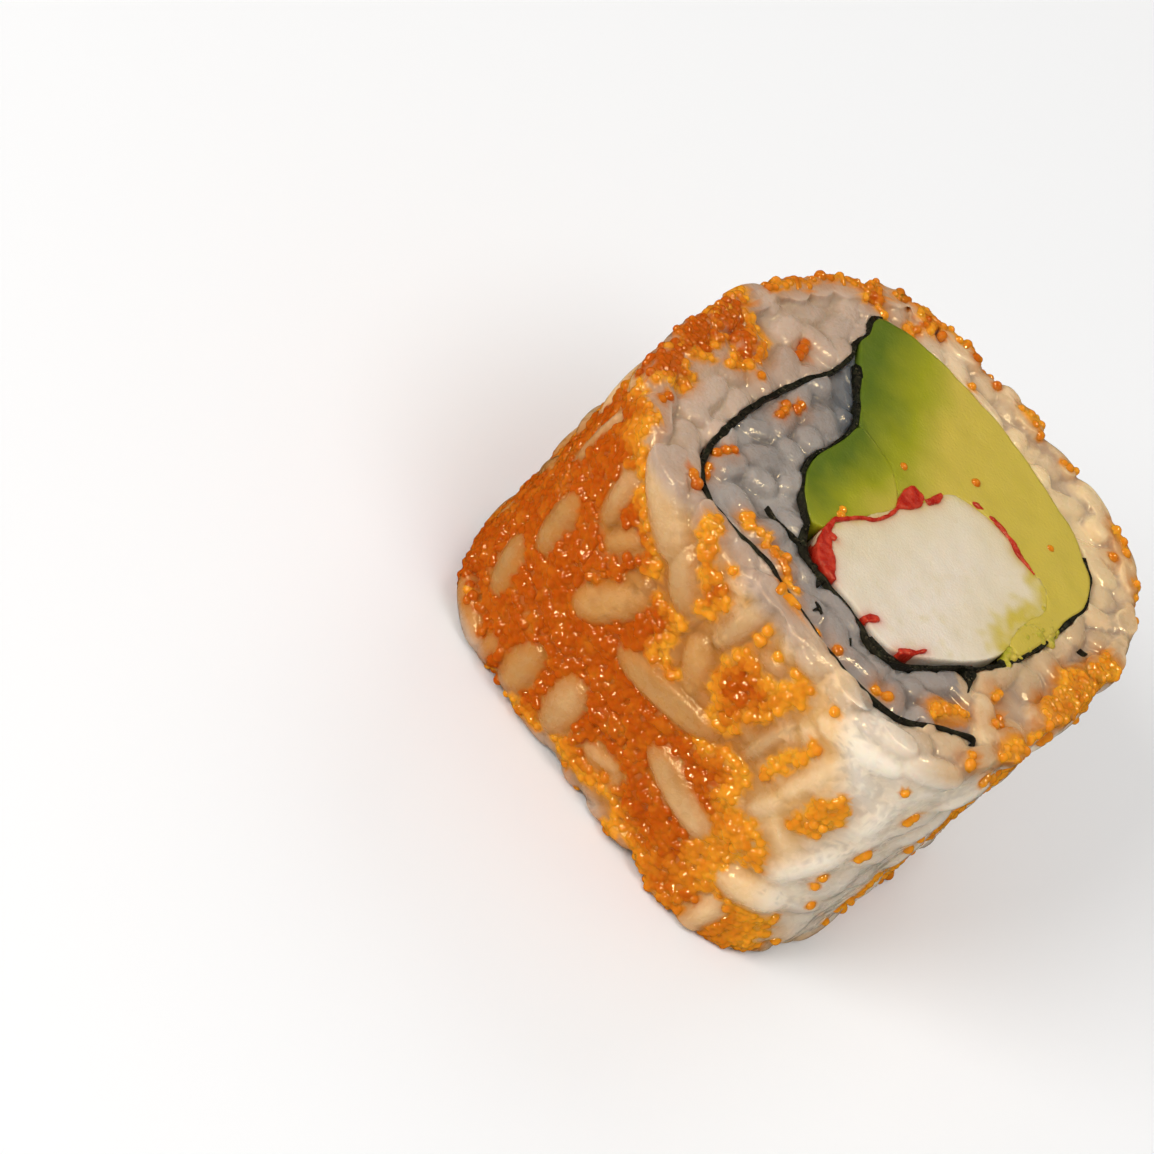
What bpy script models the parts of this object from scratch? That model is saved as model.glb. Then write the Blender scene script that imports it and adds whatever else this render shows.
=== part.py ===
"""California roll piece: rice rolled inside out on one sheet of nori, round avocado and crab stick.

Metres, +Z up. The piece stands on one of its two knife cuts, so Z is the axis it was rolled about.
X runs to the right along the side where the sheet ends, and Y runs away from that side.
Plan measures below are in millimetres, (x, y) from the middle of the piece.
"""
import math
import random

import bmesh
import bpy
from mathutils import Matrix, Vector

MM = 0.001

# ---- driving dimensions ------------------------------------------------------------------------
ROLL_HEIGHT = 28 * MM            # between the two knife cuts
RIM_RADIUS = 1.4 * MM            # the rice is rounded off where the side meets a cut
CUT_RECESS = 0.35 * MM           # how far the rice between the cut grains lies below the cut
GAP = 0.3 * MM                   # left between neighbours that touch
SHEET_THICKNESS = 0.3 * MM
CUT_EDGE = 0.3 * MM              # rounding of the crab stick's cut edges
NORI_SHORT = 0.1 * MM            # how far each filling stays below the upper cut
AVOCADO_SHORT = 0.2 * MM

GRAIN_LENGTH = 7.2 * MM
GRAIN_WIDTH = 2.9 * MM
GRAIN_HEIGHT = 2.4 * MM
BLUNT_ENDS = (1.2, 1.2, 1.1)      # widens the rings next to a grain's two ends
GRAIN_PROUD = 0.55 * MM          # how far a grain stands out of the rice round it
SIDE_GRAINS = 96
CUT_GRAINS = 30                  # on each knife cut
GRAIN_SPACING = 4.1 * MM
CUT_GRAIN_SPACING = 3.6 * MM
CUT_GRAIN_SHARE = 0.6            # of a grain's length, where the knife leaves only part of it
CUT_LEAN = 0.5                   # radians that a cut grain leans out of the cut
GRAIN_MARGIN = 2.2 * MM          # from a side grain's middle to either cut
CUT_GRAIN_MARGIN = 2.4 * MM      # from a cut grain's middle to the side
SHEET_CLEARANCE = 1.2 * MM       # from a cut grain's middle to the sheet
ROE_RADIUS = 0.42 * MM
ROE_PROUD = 0.6 * MM
ROE_BEADS = 70
ROE_SPACING = 3.1 * MM
ROE_MARGIN = 1.5 * MM
SCATTER_SEED = 11
TRIES = 6000                     # draws allowed for each scatter
CUTTER_REACH = 2 * MM            # how far a cutter runs past the piece

# Closed outlines run the way the clock does, seen from above.
# The pressed roll's rounded square, from the end of the sheet round by the front.
ROLL_OUTLINE = (
    (20.9, -11.5), (19, -17), (14, -20.2), (6, -20.6), (-4, -20.5), (-12.4, -19.6),
    (-18, -15.6), (-20.4, -8), (-20.8, 1), (-19.2, 9), (-15.4, 16.2), (-9, 19.6),
    (-1, 20.7), (8, 20.3), (15, 17.6), (19.3, 12), (20.4, 5), (20.8, -3),
)
# The sheet from its start at the avocado, once round the filling to the avocado's tip, and on
# round the rice that was rolled in with it, to the sheet's end near the surface.
SHEET = (
    (-11.2, 6.6), (-8.8, 3.9), (-7.2, 1.4), (-6.8, -2), (-6.7, -5.9), (-5, -9), (-2.9, -10.7),
    (-1.9, -12.3), (-0.5, -13.6), (2, -13.8), (5, -13.6), (8.8, -13.9), (10.7, -12), (12.4, -8.9),
    (14, -5.6), (14.9, -2.5), (15.2, 2), (14.9, 6.5), (14.5, 10.3), (12.2, 13.3), (8, 15),
    (0, 16.2), (-7, 15.8), (-12, 14), (-13.9, 12.3),
    (-13, 10.2), (-12.9, 8.2), (-12, 6), (-11.9, 3), (-12.4, -1), (-12.6, -5),
    (-12.3, -10), (-11.2, -15.2), (-9.3, -17.8), (-6, -18.5), (-2, -17.8), (3, -18.3),
    (8, -18.7), (13.4, -17.3), (16, -13.8), (18, -11.7),
)
CRAB_OUTLINE = (
    (1.9, 5.6), (4.5, 6.9), (8, 7.2), (11.8, 6.8), (13.2, 5), (13.1, 2), (13.8, -2.4), (13.2, -5.6),
    (11.3, -9.4), (9.6, -12.2), (7.8, -13.1), (4.5, -12.9), (1.2, -12.9), (-0.8, -11.8),
    (-1.4, -9.6), (-0.8, -6.2), (0.1, -2.2), (1, 2.6),
)
AVOCADO_LARGE_OUTLINE = (
    (-13.4, 12.3), (-12, 13.6), (-7, 15.5), (0, 15.9), (8, 14.7), (12, 13), (14.2, 10.2),
    (14.6, 6.5), (14.8, 2), (14.5, -1), (12, 0), (5, -2), (0.6, -0.7), (-1.4, 0.7), (-3.5, 1.9),
    (-6.8, 1.9), (-8.6, 4.1), (-11, 7), (-12.7, 9.4),
)
AVOCADO_SMALL_OUTLINE = (
    (-6.9, 1.3), (-3.7, 1.4), (-1.6, 0.2), (1, -2.4), (0.6, -4), (-0.6, -7), (-1.6, -9.6),
    (-3, -10.5), (-4.9, -8.9), (-6.5, -5.9), (-6.6, -2),
)
TIP = SHEET.index((-13.9, 12.3))
CLOSING_SPANS = 2                # of the sheet's next turn, which close the filling in past the tip
STEPS_PER_SPAN = 3               # points that a curve takes from one named point to the next


# ---- materials ---------------------------------------------------------------------------------
def make_material(name, colour, roughness):
    material = bpy.data.materials.new(name)
    material.use_nodes = True
    shader = material.node_tree.nodes["Principled BSDF"]
    shader.inputs["Base Color"].default_value = (*colour, 1)
    shader.inputs["Roughness"].default_value = roughness
    shader.inputs["Metallic"].default_value = 0
    return material


# ---- outlines ----------------------------------------------------------------------------------
def smooth_path(points, closed):
    """A Catmull-Rom curve through plan points in millimetres, as (x, y) pairs in metres."""
    count = len(points)
    spans = count if closed else count - 1
    path = []
    for span in range(spans):
        if closed:
            before, start, end, after = (Vector(points[(span + k) % count]) for k in (-1, 0, 1, 2))
        else:
            before, start, end, after = (
                Vector(points[min(max(span + k, 0), count - 1)]) for k in (-1, 0, 1, 2))
        for step in range(STEPS_PER_SPAN):
            t = step / STEPS_PER_SPAN
            point = 0.5 * (
                2 * start + (end - before) * t
                + (2 * before - 5 * start + 4 * end - after) * t ** 2
                + (3 * start - before - 3 * end + after) * t ** 3)
            path.append(point * MM)
    if not closed:
        path.append(Vector(points[-1]) * MM)
    return path


def grown(path, distance):
    """A closed outline moved outwards by a distance."""
    count = len(path)
    moved = []
    for index, point in enumerate(path):
        along = (path[(index + 1) % count] - path[index - 1]).normalized()
        moved.append(point + Vector((-along.y, along.x)) * distance)
    return moved


def is_inside(point, path):
    """Whether a plan point lies inside a closed outline, by counting the edges to its right."""
    inside = False
    for start, end in zip(path, path[1:] + path[:1]):
        if (start.y > point.y) != (end.y > point.y):
            crossing = start.x + (point.y - start.y) / (end.y - start.y) * (end.x - start.x)
            if crossing > point.x:
                inside = not inside
    return inside


# ---- shapes ------------------------------------------------------------------------------------
def add_object(name, bm, collection, material=None):
    mesh = bpy.data.meshes.new(name)
    bmesh.ops.recalc_face_normals(bm, faces=bm.faces)
    bm.to_mesh(mesh)
    bm.free()
    thing = bpy.data.objects.new(name, mesh)
    collection.objects.link(thing)
    if material:
        mesh.materials.append(material)
    return thing


def slab(path, bottom, top):
    """A closed outline as a solid between two heights."""
    bm = bmesh.new()
    ring = [bm.verts.new((point.x, point.y, bottom)) for point in path]
    floor = bm.faces.new(ring)
    upper = bmesh.ops.extrude_face_region(bm, geom=[floor])["geom"]
    corners = [item for item in upper if isinstance(item, bmesh.types.BMVert)]
    bmesh.ops.translate(bm, vec=(0, 0, top - bottom), verts=corners)
    return bm


def ribbon(path, bottom, top):
    """An open plan path as an upright strip between two heights."""
    bm = bmesh.new()
    line = [bm.verts.new((point.x, point.y, bottom)) for point in path]
    edges = [bm.edges.new(pair) for pair in zip(line, line[1:])]
    upper = bmesh.ops.extrude_edge_only(bm, edges=edges)["geom"]
    corners = [item for item in upper if isinstance(item, bmesh.types.BMVert)]
    bmesh.ops.translate(bm, vec=(0, 0, top - bottom), verts=corners)
    return bm


def thicken(thing, thickness):
    wall = thing.modifiers.new("Thickness", "SOLIDIFY")
    wall.thickness = thickness
    wall.offset = 0
    wall.use_even_offset = True


def make_cutter(name, bm, collection, thickness=0):
    cutter = add_object(name, bm, collection)
    if thickness:
        thicken(cutter, thickness)
    cutter.hide_render = True
    cutter.display_type = "WIRE"
    return cutter


def cut(thing, cutter):
    difference = thing.modifiers.new("Cut " + cutter.name, "BOOLEAN")
    difference.operation = "DIFFERENCE"
    difference.solver = "EXACT"
    difference.object = cutter


def apply_modifiers(thing):
    """Keep a thing's evaluated shape as its own mesh."""
    bpy.context.view_layer.update()
    evaluated = thing.evaluated_get(bpy.context.evaluated_depsgraph_get())
    shaped = bpy.data.meshes.new_from_object(evaluated)
    thing.modifiers.clear()
    thing.data = shaped
    shaped.name = thing.name


# ---- scatter -----------------------------------------------------------------------------------
def outline_frame(path, share):
    """The point and the outward direction at a share of the way round a closed outline."""
    place = share * len(path)
    index = int(place) % len(path)
    start = path[index]
    end = path[(index + 1) % len(path)]
    along = (end - start).normalized()
    return start.lerp(end, place - int(place)), Vector((-along.y, along.x))


def spread(draw, count, spacing):
    """Random places from draw(), each at least a spacing away from those before it."""
    places = []
    for _ in range(TRIES):
        if len(places) == count:
            break
        place = draw()
        if place and all((place.translation - kept.translation).length > spacing for kept in places):
            places.append(place)
    return places


def upright_axes(normal, turn):
    """A turn matrix whose Z is a level normal and whose X leans by an angle from level."""
    level = Vector((-normal.y, normal.x, 0))
    up = Vector((0, 0, 1))
    long_axis = level * math.cos(turn) + up * math.sin(turn)
    short_axis = normal.cross(long_axis)
    return Matrix((long_axis, short_axis, normal)).transposed().to_4x4()


def side_place(rng, path, margin, sink):
    """A place on the rolled side, sunk into it, with its long axis at any lean."""
    point, outward = outline_frame(path, rng.random())
    normal = Vector((outward.x, outward.y, 0))
    height = rng.uniform(margin, ROLL_HEIGHT - margin)
    centre = Vector((point.x, point.y, height)) - normal * sink
    return Matrix.Translation(centre) @ upright_axes(normal, rng.uniform(-math.pi, math.pi))


def cut_place(rng, outline, filling, sheet, height):
    """A place on a knife cut's rice, clear of the filling and the sheet, or None."""
    reach = ROLL_OUTLINE[0][0]
    spot = Vector((rng.uniform(-reach, reach), rng.uniform(-reach, reach))) * MM
    if not is_inside(spot, outline) or is_inside(spot, filling):
        return None
    if any((spot - point).length < SHEET_CLEARANCE for point in sheet):
        return None
    lean = Matrix.Rotation(rng.uniform(-CUT_LEAN, CUT_LEAN), 4, "Y")
    turn = Matrix.Rotation(rng.uniform(-math.pi, math.pi), 4, "Z")
    return Matrix.Translation((spot.x, spot.y, height)) @ turn @ lean


def add_grain(rng, place, size, collection):
    bm = bmesh.new()
    bmesh.ops.create_uvsphere(bm, u_segments=6, v_segments=4, radius=0.5)
    ends = [vert for vert in bm.verts if 0.1 < abs(vert.co.z) < 0.45]
    bmesh.ops.scale(bm, verts=ends, vec=BLUNT_ENDS)
    bmesh.ops.rotate(bm, verts=bm.verts, matrix=Matrix.Rotation(math.pi / 2, 3, "Y"))
    swell = rng.uniform(0.88, 1.1)
    bmesh.ops.scale(bm, verts=bm.verts, vec=Vector(size) * swell)
    bmesh.ops.transform(bm, verts=bm.verts, matrix=place)
    return add_object("Grain", bm, collection)


def add_bead(place, collection):
    bm = bmesh.new()
    bmesh.ops.create_icosphere(bm, subdivisions=1, radius=ROE_RADIUS)
    bmesh.ops.transform(bm, verts=bm.verts, matrix=place)
    return add_object("Bead", bm, collection)


# ---- the pieces --------------------------------------------------------------------------------
def make_rice_core(outline, collection, material):
    """The pressed rice without its grains, rounded off towards both cuts."""
    core = add_object("rice", slab(outline, CUT_RECESS, ROLL_HEIGHT - CUT_RECESS), collection, material)
    rim = core.modifiers.new("Rim", "BEVEL")
    rim.width = RIM_RADIUS
    rim.segments = 3
    rim.limit_method = "ANGLE"
    rim.angle_limit = math.radians(60)
    apply_modifiers(core)
    return core


def scatter_grains_and_roe(outline, filling, sheet, collection):
    """Grains bedded in the side and in both cuts, and beads of roe on the side."""
    rng = random.Random(SCATTER_SEED)
    side_grain = (GRAIN_LENGTH, GRAIN_WIDTH, GRAIN_HEIGHT)
    cut_grain = (GRAIN_LENGTH * CUT_GRAIN_SHARE, GRAIN_WIDTH, GRAIN_HEIGHT)
    sink = GRAIN_HEIGHT / 2 - GRAIN_PROUD
    for place in spread(lambda: side_place(rng, outline, GRAIN_MARGIN, sink),
                        SIDE_GRAINS, GRAIN_SPACING):
        add_grain(rng, place, side_grain, collection)
    inset = grown(outline, -CUT_GRAIN_MARGIN)
    for height in (0, ROLL_HEIGHT):
        for place in spread(lambda: cut_place(rng, inset, filling, sheet, height),
                            CUT_GRAINS, CUT_GRAIN_SPACING):
            add_grain(rng, place, cut_grain, collection)
    sink = ROE_RADIUS - ROE_PROUD
    for place in spread(lambda: side_place(rng, outline, ROE_MARGIN, sink), ROE_BEADS, ROE_SPACING):
        add_bead(place, collection)


def fuse_all(core, collection):
    """Join every object of a collection to the core, then remove them."""
    union = core.modifiers.new("Fuse", "BOOLEAN")
    union.operation = "UNION"
    union.solver = "MANIFOLD"
    union.operand_type = "COLLECTION"
    union.collection = collection
    apply_modifiers(core)
    for thing in list(collection.objects):
        bpy.data.objects.remove(thing, do_unlink=True)


def keep_largest_body(thing):
    """Fill sealed hollows and drop loose scraps: only the largest closed surface stays."""
    apply_modifiers(thing)
    bm = bmesh.new()
    bm.from_mesh(thing.data)
    unseen = set(bm.verts)
    bodies = []
    while unseen:
        body = {unseen.pop()}
        edge_of_growth = set(body)
        while edge_of_growth:
            vert = edge_of_growth.pop()
            fresh = {edge.other_vert(vert) for edge in vert.link_edges} & unseen
            unseen -= fresh
            body |= fresh
            edge_of_growth |= fresh
        bodies.append(body)
    largest = max(bodies, key=len)
    bmesh.ops.delete(bm, geom=[vert for vert in bm.verts if vert not in largest], context="VERTS")
    bm.to_mesh(thing.data)
    bm.free()


def make_cutters(sheet, filling, crab, avocado_small, collection):
    """Everything that makes room: the sheet's slot, the filling's hole and the knife's cuts."""
    low = -CUTTER_REACH
    high = ROLL_HEIGHT + CUTTER_REACH
    slot = SHEET_THICKNESS + 2 * GAP
    inner_turn = sheet[:(TIP + 1) * STEPS_PER_SPAN]
    outer_turn = sheet[(TIP - 1) * STEPS_PER_SPAN:]
    reach = 2 * ROLL_OUTLINE[0][0] * MM
    square = [Vector(corner) * reach for corner in ((-1, -1), (-1, 1), (1, 1), (1, -1))]
    return {
        "inner slot": make_cutter("Inner slot", ribbon(inner_turn, low, high), collection, slot),
        "outer slot": make_cutter("Outer slot", ribbon(outer_turn, low, high), collection, slot),
        "filling": make_cutter("Filling hole", slab(filling, low, high), collection),
        "crab": make_cutter("Crab room", slab(grown(crab, GAP), low, high), collection),
        "avocado": make_cutter("Avocado room", slab(grown(avocado_small, GAP), low, high), collection),
        "lower cut": make_cutter("Lower cut", slab(square, low, 0), collection),
        "upper cut": make_cutter("Upper cut", slab(square, ROLL_HEIGHT, high), collection),
    }


def make_rice(outline, filling, sheet, cutters, parts, grains):
    rice = make_rice_core(outline, parts, make_material("Rice", (0.86, 0.72, 0.55), 0.4))
    scatter_grains_and_roe(outline, filling, sheet, grains)
    fuse_all(rice, grains)
    for name in ("filling", "inner slot", "outer slot", "lower cut", "upper cut"):
        cut(rice, cutters[name])
    keep_largest_body(rice)


def make_nori(sheet, parts):
    nori = add_object("nori", ribbon(sheet, 0, ROLL_HEIGHT - NORI_SHORT), parts,
                      make_material("Nori", (0.02, 0.03, 0.02), 0.5))
    thicken(nori, SHEET_THICKNESS)


def make_crab_stick(path, parts):
    crab = add_object("crab_stick", slab(path, 0, ROLL_HEIGHT), parts,
                      make_material("Crab stick", (0.85, 0.78, 0.66), 0.45))
    edge = crab.modifiers.new("Cut edge", "BEVEL")
    edge.width = CUT_EDGE
    edge.segments = 1
    edge.limit_method = "ANGLE"
    edge.angle_limit = math.radians(60)


def make_avocado(name, path, room, cutters, parts, material):
    """A slice of avocado, trimmed to the sheet and to what lies against it."""
    avocado = add_object(name, slab(path, 0, ROLL_HEIGHT - AVOCADO_SHORT), parts, material)
    for neighbour in room:
        cut(avocado, cutters[neighbour])
    keep_largest_body(avocado)


def build():
    for thing in list(bpy.data.objects):
        bpy.data.objects.remove(thing, do_unlink=True)
    parts = bpy.data.collections.new("California roll")
    cutter_shelf = bpy.data.collections.new("Cutters")
    grains = bpy.data.collections.new("Grains")
    for collection in (parts, cutter_shelf, grains):
        bpy.context.scene.collection.children.link(collection)

    outline = smooth_path(ROLL_OUTLINE, closed=True)
    sheet = smooth_path(SHEET, closed=False)
    filling = sheet[:(TIP + CLOSING_SPANS) * STEPS_PER_SPAN + 1]
    crab = smooth_path(CRAB_OUTLINE, closed=True)
    avocado_large = smooth_path(AVOCADO_LARGE_OUTLINE, closed=True)
    avocado_small = smooth_path(AVOCADO_SMALL_OUTLINE, closed=True)
    cutters = make_cutters(sheet, filling, crab, avocado_small, cutter_shelf)

    make_rice(outline, filling, sheet, cutters, parts, grains)
    make_nori(sheet, parts)
    make_crab_stick(crab, parts)
    flesh = make_material("Avocado", (0.45, 0.5, 0.08), 0.4)
    make_avocado("avocado_large", avocado_large, ("inner slot", "outer slot", "crab", "avocado"),
                 cutters, parts, flesh)
    make_avocado("avocado_small", avocado_small, ("inner slot", "crab"), cutters, parts, flesh)


build()
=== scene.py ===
"""California roll piece, dressed: rice grains and roe over the rolled rice, nori, avocado and crab.

Metres, +Z up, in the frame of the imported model: the piece stands on its lower knife cut, the
sheet ends at the front right, and the front looks towards -Y. Numbers named in capitals are
millimetres and degrees unless they say otherwise. Plan readings are (x, y) on the upper cut and
front readings are (x, z) on an upright plane at the front.
"""
import math
import random

import bmesh
import bpy
import numpy as np
from mathutils import Matrix, Quaternion, Vector, noise
from mathutils.bvhtree import BVHTree
from mathutils.kdtree import KDTree


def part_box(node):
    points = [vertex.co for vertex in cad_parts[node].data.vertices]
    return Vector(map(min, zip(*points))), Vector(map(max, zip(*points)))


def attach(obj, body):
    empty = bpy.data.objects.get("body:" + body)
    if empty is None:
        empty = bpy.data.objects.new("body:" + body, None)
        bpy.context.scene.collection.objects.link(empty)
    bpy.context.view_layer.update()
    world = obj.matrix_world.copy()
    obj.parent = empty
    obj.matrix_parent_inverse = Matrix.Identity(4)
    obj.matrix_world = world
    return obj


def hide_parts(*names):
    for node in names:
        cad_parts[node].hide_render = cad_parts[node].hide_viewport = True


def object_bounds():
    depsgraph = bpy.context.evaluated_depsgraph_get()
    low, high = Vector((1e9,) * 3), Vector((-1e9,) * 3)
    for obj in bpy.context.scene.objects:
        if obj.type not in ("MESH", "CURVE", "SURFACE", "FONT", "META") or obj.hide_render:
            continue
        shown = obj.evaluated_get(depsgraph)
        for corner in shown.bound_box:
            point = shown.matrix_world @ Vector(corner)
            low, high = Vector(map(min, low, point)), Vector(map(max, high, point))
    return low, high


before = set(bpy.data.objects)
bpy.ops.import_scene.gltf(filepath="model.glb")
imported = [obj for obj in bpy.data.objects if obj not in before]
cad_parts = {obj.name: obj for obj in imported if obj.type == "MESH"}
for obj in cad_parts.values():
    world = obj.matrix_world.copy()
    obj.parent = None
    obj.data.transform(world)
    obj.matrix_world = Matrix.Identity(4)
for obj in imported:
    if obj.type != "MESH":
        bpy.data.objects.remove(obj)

MM = 0.001
CAD_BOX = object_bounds()
BOX_CORNERS = [np.array(corner / MM) for corner in CAD_BOX]
ROLL_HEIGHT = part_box("crab_stick")[1].z / MM

# ---- camera: the photograph's view -------------------------------------------------------------
PHOTO_SIZE = 1154                # pixels, both ways
FOCAL_LENGTH = 5156              # pixels
VIEW_AZIMUTH = 6.66
VIEW_ELEVATION = 36.68
VIEW_ROLL = 47.17                # the piece's up leans this far to the right in the picture
VIEW_DISTANCE = 400              # to the middle of the upper cut
CUT_MIDDLE_PIXEL = (908, 499)    # where the middle of the upper cut shows
FRONT_PLANE = -21                # y of the plane that front readings lie on
SENSOR_WIDTH = 36
CLIPPED = (0.01, 20)             # metres

# ---- the rolled rice and its sheet -------------------------------------------------------------
ROLL_OUTLINE = (
    (20.9, -11.5), (19, -17), (14, -20.2), (6, -20.6), (-4, -20.5), (-12.4, -19.6),
    (-18, -15.6), (-20.4, -8), (-20.8, 1), (-19.2, 9), (-15.4, 16.2), (-9, 19.6),
    (-1, 20.7), (8, 20.3), (15, 17.6), (19.3, 12), (20.4, 5), (20.8, -3),
)
# The sheet's path and how broad its dark edge shows. The breadths take in shade beside the sheet, so the
# black sheet, drawn this broad, stands partly for that shade.
SHEET = (
    (-11.2, 6.6, 0.6), (-8.8, 3.9, 0.4), (-7.2, 1.4, 0.24), (-6.8, -2, 0.22), (-6.7, -5.9, 0.26),
    (-5, -9, 0.26), (-2.9, -10.7, 0.36), (-1.9, -12.3, 0.5), (-0.5, -13.6, 0.36), (2, -13.8, 0.26),
    (5, -13.6, 0.26), (8.8, -14.3, 0.26), (10.7, -12.6, 0.22), (12.4, -8.9, 0.2), (14, -5.6, 0.24),
    (14.9, -2.5, 0.35), (15.2, 2, 0.3), (14.9, 6.5, 0.4), (14.5, 10.3, 0.3), (12.2, 13.3, 0.25),
    (8, 15, 0.2), (0, 16.2, 0.2), (-7, 15.8, 0.2), (-12, 14, 0.25), (-13.9, 12.3, 0.35),
    (-13, 10.2, 0.3), (-12.9, 8.2, 0.35), (-12, 6, 0.34), (-11.9, 3, 0.32), (-12.4, -1, 0.42),
    (-12.6, -5, 0.36), (-12.3, -10, 0.5), (-11.2, -15.2, 0.42), (-9.3, -17.8, 0.34),
    (-6, -18.5, 0.34), (-2, -17.8, 0.36), (3, -18.3, 0.32), (8, -18.7, 0.4), (13.4, -17.3, 0.28),
    (16, -13.8, 0.18), (18, -11.7, 0.16), (18.6, -12.3, 0.08),
)
TIP = 24                          # point where the sheet has gone once round the filling
CLOSING_SPANS = 2                 # of its next turn, which close the filling in past the tip
HIDDEN_SPANS = (19.3, 23.6)       # points between which the filling laps over the sheet's edge
HIDDEN_DEPTH = 0.9
OUTER_SPANS_FROM = 31             # point from which the sheet runs near the roll's rim
OUTER_DEPTH = 0.1                 # and its edge lies this much deeper
SHEET_SUNK = 0.42                 # the sheet's edge lies this far below the tallest beads
SHEET_WAVES = (0.2, 0.23)         # how high its edge waves, and how fast with every step
SHEET_FOOT = 0.2                  # its lower edge, above the lowest beads
SHEET_SWOLLEN = 0.06              # added to its breadth, so that it fills its slot
SHEET_EDGE = 0.07                 # bevel of its edges
STEPS_PER_SPAN = 8
SHEET_CRINKLE = 0.15
CRINKLE_LENGTH = 1.3
SCRAP_DEPTH = 1.2
# Folds, tears and crumbs of the sheet: strips of (x, y, breadth).
SHEET_SCRAPS = (
    ((7.3, -13.7, 0.3), (8.3, -13.8, 0.7), (9.2, -13.8, 1.0), (10.0, -13.2, 0.7), (10.5, -12.7, 0.2)),
    ((-1.4, -13.0, 0.25), (-3.2, -13.5, 0.12), (-4.2, -13.7, 0.18), (-5.3, -13.5, 0.06)),
    ((13.7, -6.2, 0.5), (13.8, -6.9, 1.1), (14.5, -7.8, 0.35), (15.0, -8.7, 0.1)),
    ((14.3, -3.1, 0.3), (14.9, -2.8, 0.45), (15.5, -3.3, 0.15)),
    ((5.6, -18.8, 0.5), (5.3, -19.4, 0.15)), ((6.7, -18.7, 0.5), (7.1, -19.3, 0.12)),
    ((0.4, -13.5, 0.6), (0.9, -14.1, 0.12)), ((1.6, -13.8, 0.6), (2.0, -14.6, 0.12)),
    ((0.5, 15.6, 0.3), (0.7, 16.0, 0.3)), ((18.4, 10.2, 0.3), (18.9, 10.9, 0.35)),
    ((17.1, 5.9, 0.15), (17.8, 6.2, 0.15)), ((14.7, 2.2, 0.25), (15.3, 2.8, 0.25)),
    ((13.9, 4.4, 0.3), (14.1, 3.9, 0.25)), ((2.8, -16.2, 0.2), (3.4, -16.3, 0.4), (3.9, -16.5, 0.2)),
    ((3.4, -16.5, 0.25), (3.3, -17.1, 0.1)), ((6.6, -15.7, 0.15), (7.0, -16.2, 0.25), (7.4, -16.8, 0.1)),
)
CUT_LEVEL = 0.3                   # the rice's cuts lie this far below the tallest beads
CUT_RECESS = 0.75                 # and the bed between its cut grains this much lower again
PAST_CUT = 2                      # how far a cutter runs past both cuts
SIDE_INSET = 0.15                 # the side lies this far inside the outline, to leave room for roe
RIM_RADIUS = 0.7
RIM_ANGLE = 60                    # edges that turn more than this are rims
RIM_SEGMENTS = 5
RIM_FALL = 0.3                    # and the rice falls this much towards the side
RIM_WHITE = 0.7                   # the front rim of the cut is as white as the side, this far
# Near the sheet's start the rice slopes down into a recess, and the grey it turns there is painted shade.
WEDGE_REACH = 2.4                 # the rice slopes down to the sheet's start from this far
WEDGE_DEPTH = 0.6
WEDGE_FOOT = 3                    # nothing deeper than this below the top slopes with it
WEDGE_FADE = (0.7, 1.15)          # the power and the share that its grey fades with
VOXEL = 0.19
RICE_FACES = 195000
HOLLOW_ROUNDS = 14
HOLLOW_DEPTH = 0.12
CALM_SIDE = 0.9                   # share of the relief that is flattened where the side is bare
CALM_CUT = 0.2                    # and on the cuts
LAPPED = 0.8                      # the rice laps over this share of the sheet's edge, here and there
LAP_LENGTH = 1.8
NOTCH_SPACING = 2.9               # and gapes about this often along it, where two grain ends meet
NOTCH_SHARE = 0.15
NOTCH_BREADTH = 0.7
NOTCH_WANDER = (0.4, 4)           # how far, as a share of the spacing, and over what length
NOTCH_LEAST = 0.3                 # of that breadth at the left,
NOTCH_FULL = (-3, 8)              # growing to all of it from this x, over this reach
FOLD_DEPTH = 1.4                  # of the hollow that the sheet's fold leaves in the rice
CALM_ROUNDS = 16
FILLING_VOXEL = 0.25
# How the filling is softened: rounds, how far it swells into its hole, its waves' height and length.
LARGE_SOFTENED = (5, 0.35, 0.16, 2.5)
SMALL_SOFTENED = (5, 0.3, 0.16, 2.5)
CRAB_SOFTENED = (1, 0.2, 0.08, 1.6)
# How the avocado ripens along x and this share of y: where its green ends and its yellow starts.
LARGE_RIPENS = (0.545, -6, 3.5)
SMALL_RIPENS = (0.1, -6, 0.5)

# Where the rice changes: a start, and the reach over which the change comes in.
CUT_FADES = (1.0, 1.2)            # depth below a cut, from its colours to the side's
CUT_CALM_FADES = (0.9, 0.8)
SIDE_CALM_FROM = (1.5, 2)
PRESSED_FROM = (8, 8)             # x of front readings, to the bare side that hands pressed smooth
PRESSED_BEFORE = (-5, 12)         # -y, towards the front
RIM_WHITE_FROM = (3, 6)           # x, along the front rim
RIM_WHITE_BEFORE = (16.5, 2.5)    # -y
RIM_FALLS = (-1.0, 1.9)           # depth inside the outline, turned outwards
BARE_RIGHT = (6, 12)              # x of front readings
BARE_RIGHT_UP = (-4, 16)          # and their z
BARE_LOW = (-14, 8)               # -z
BARE_LOW_RIGHT = (-8, 4)          # x
BARE_LOW_SHARE = 0.18
BARE_HIGH = (20, 7)               # z
BARE_HIGH_SHARE = 0.5

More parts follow.
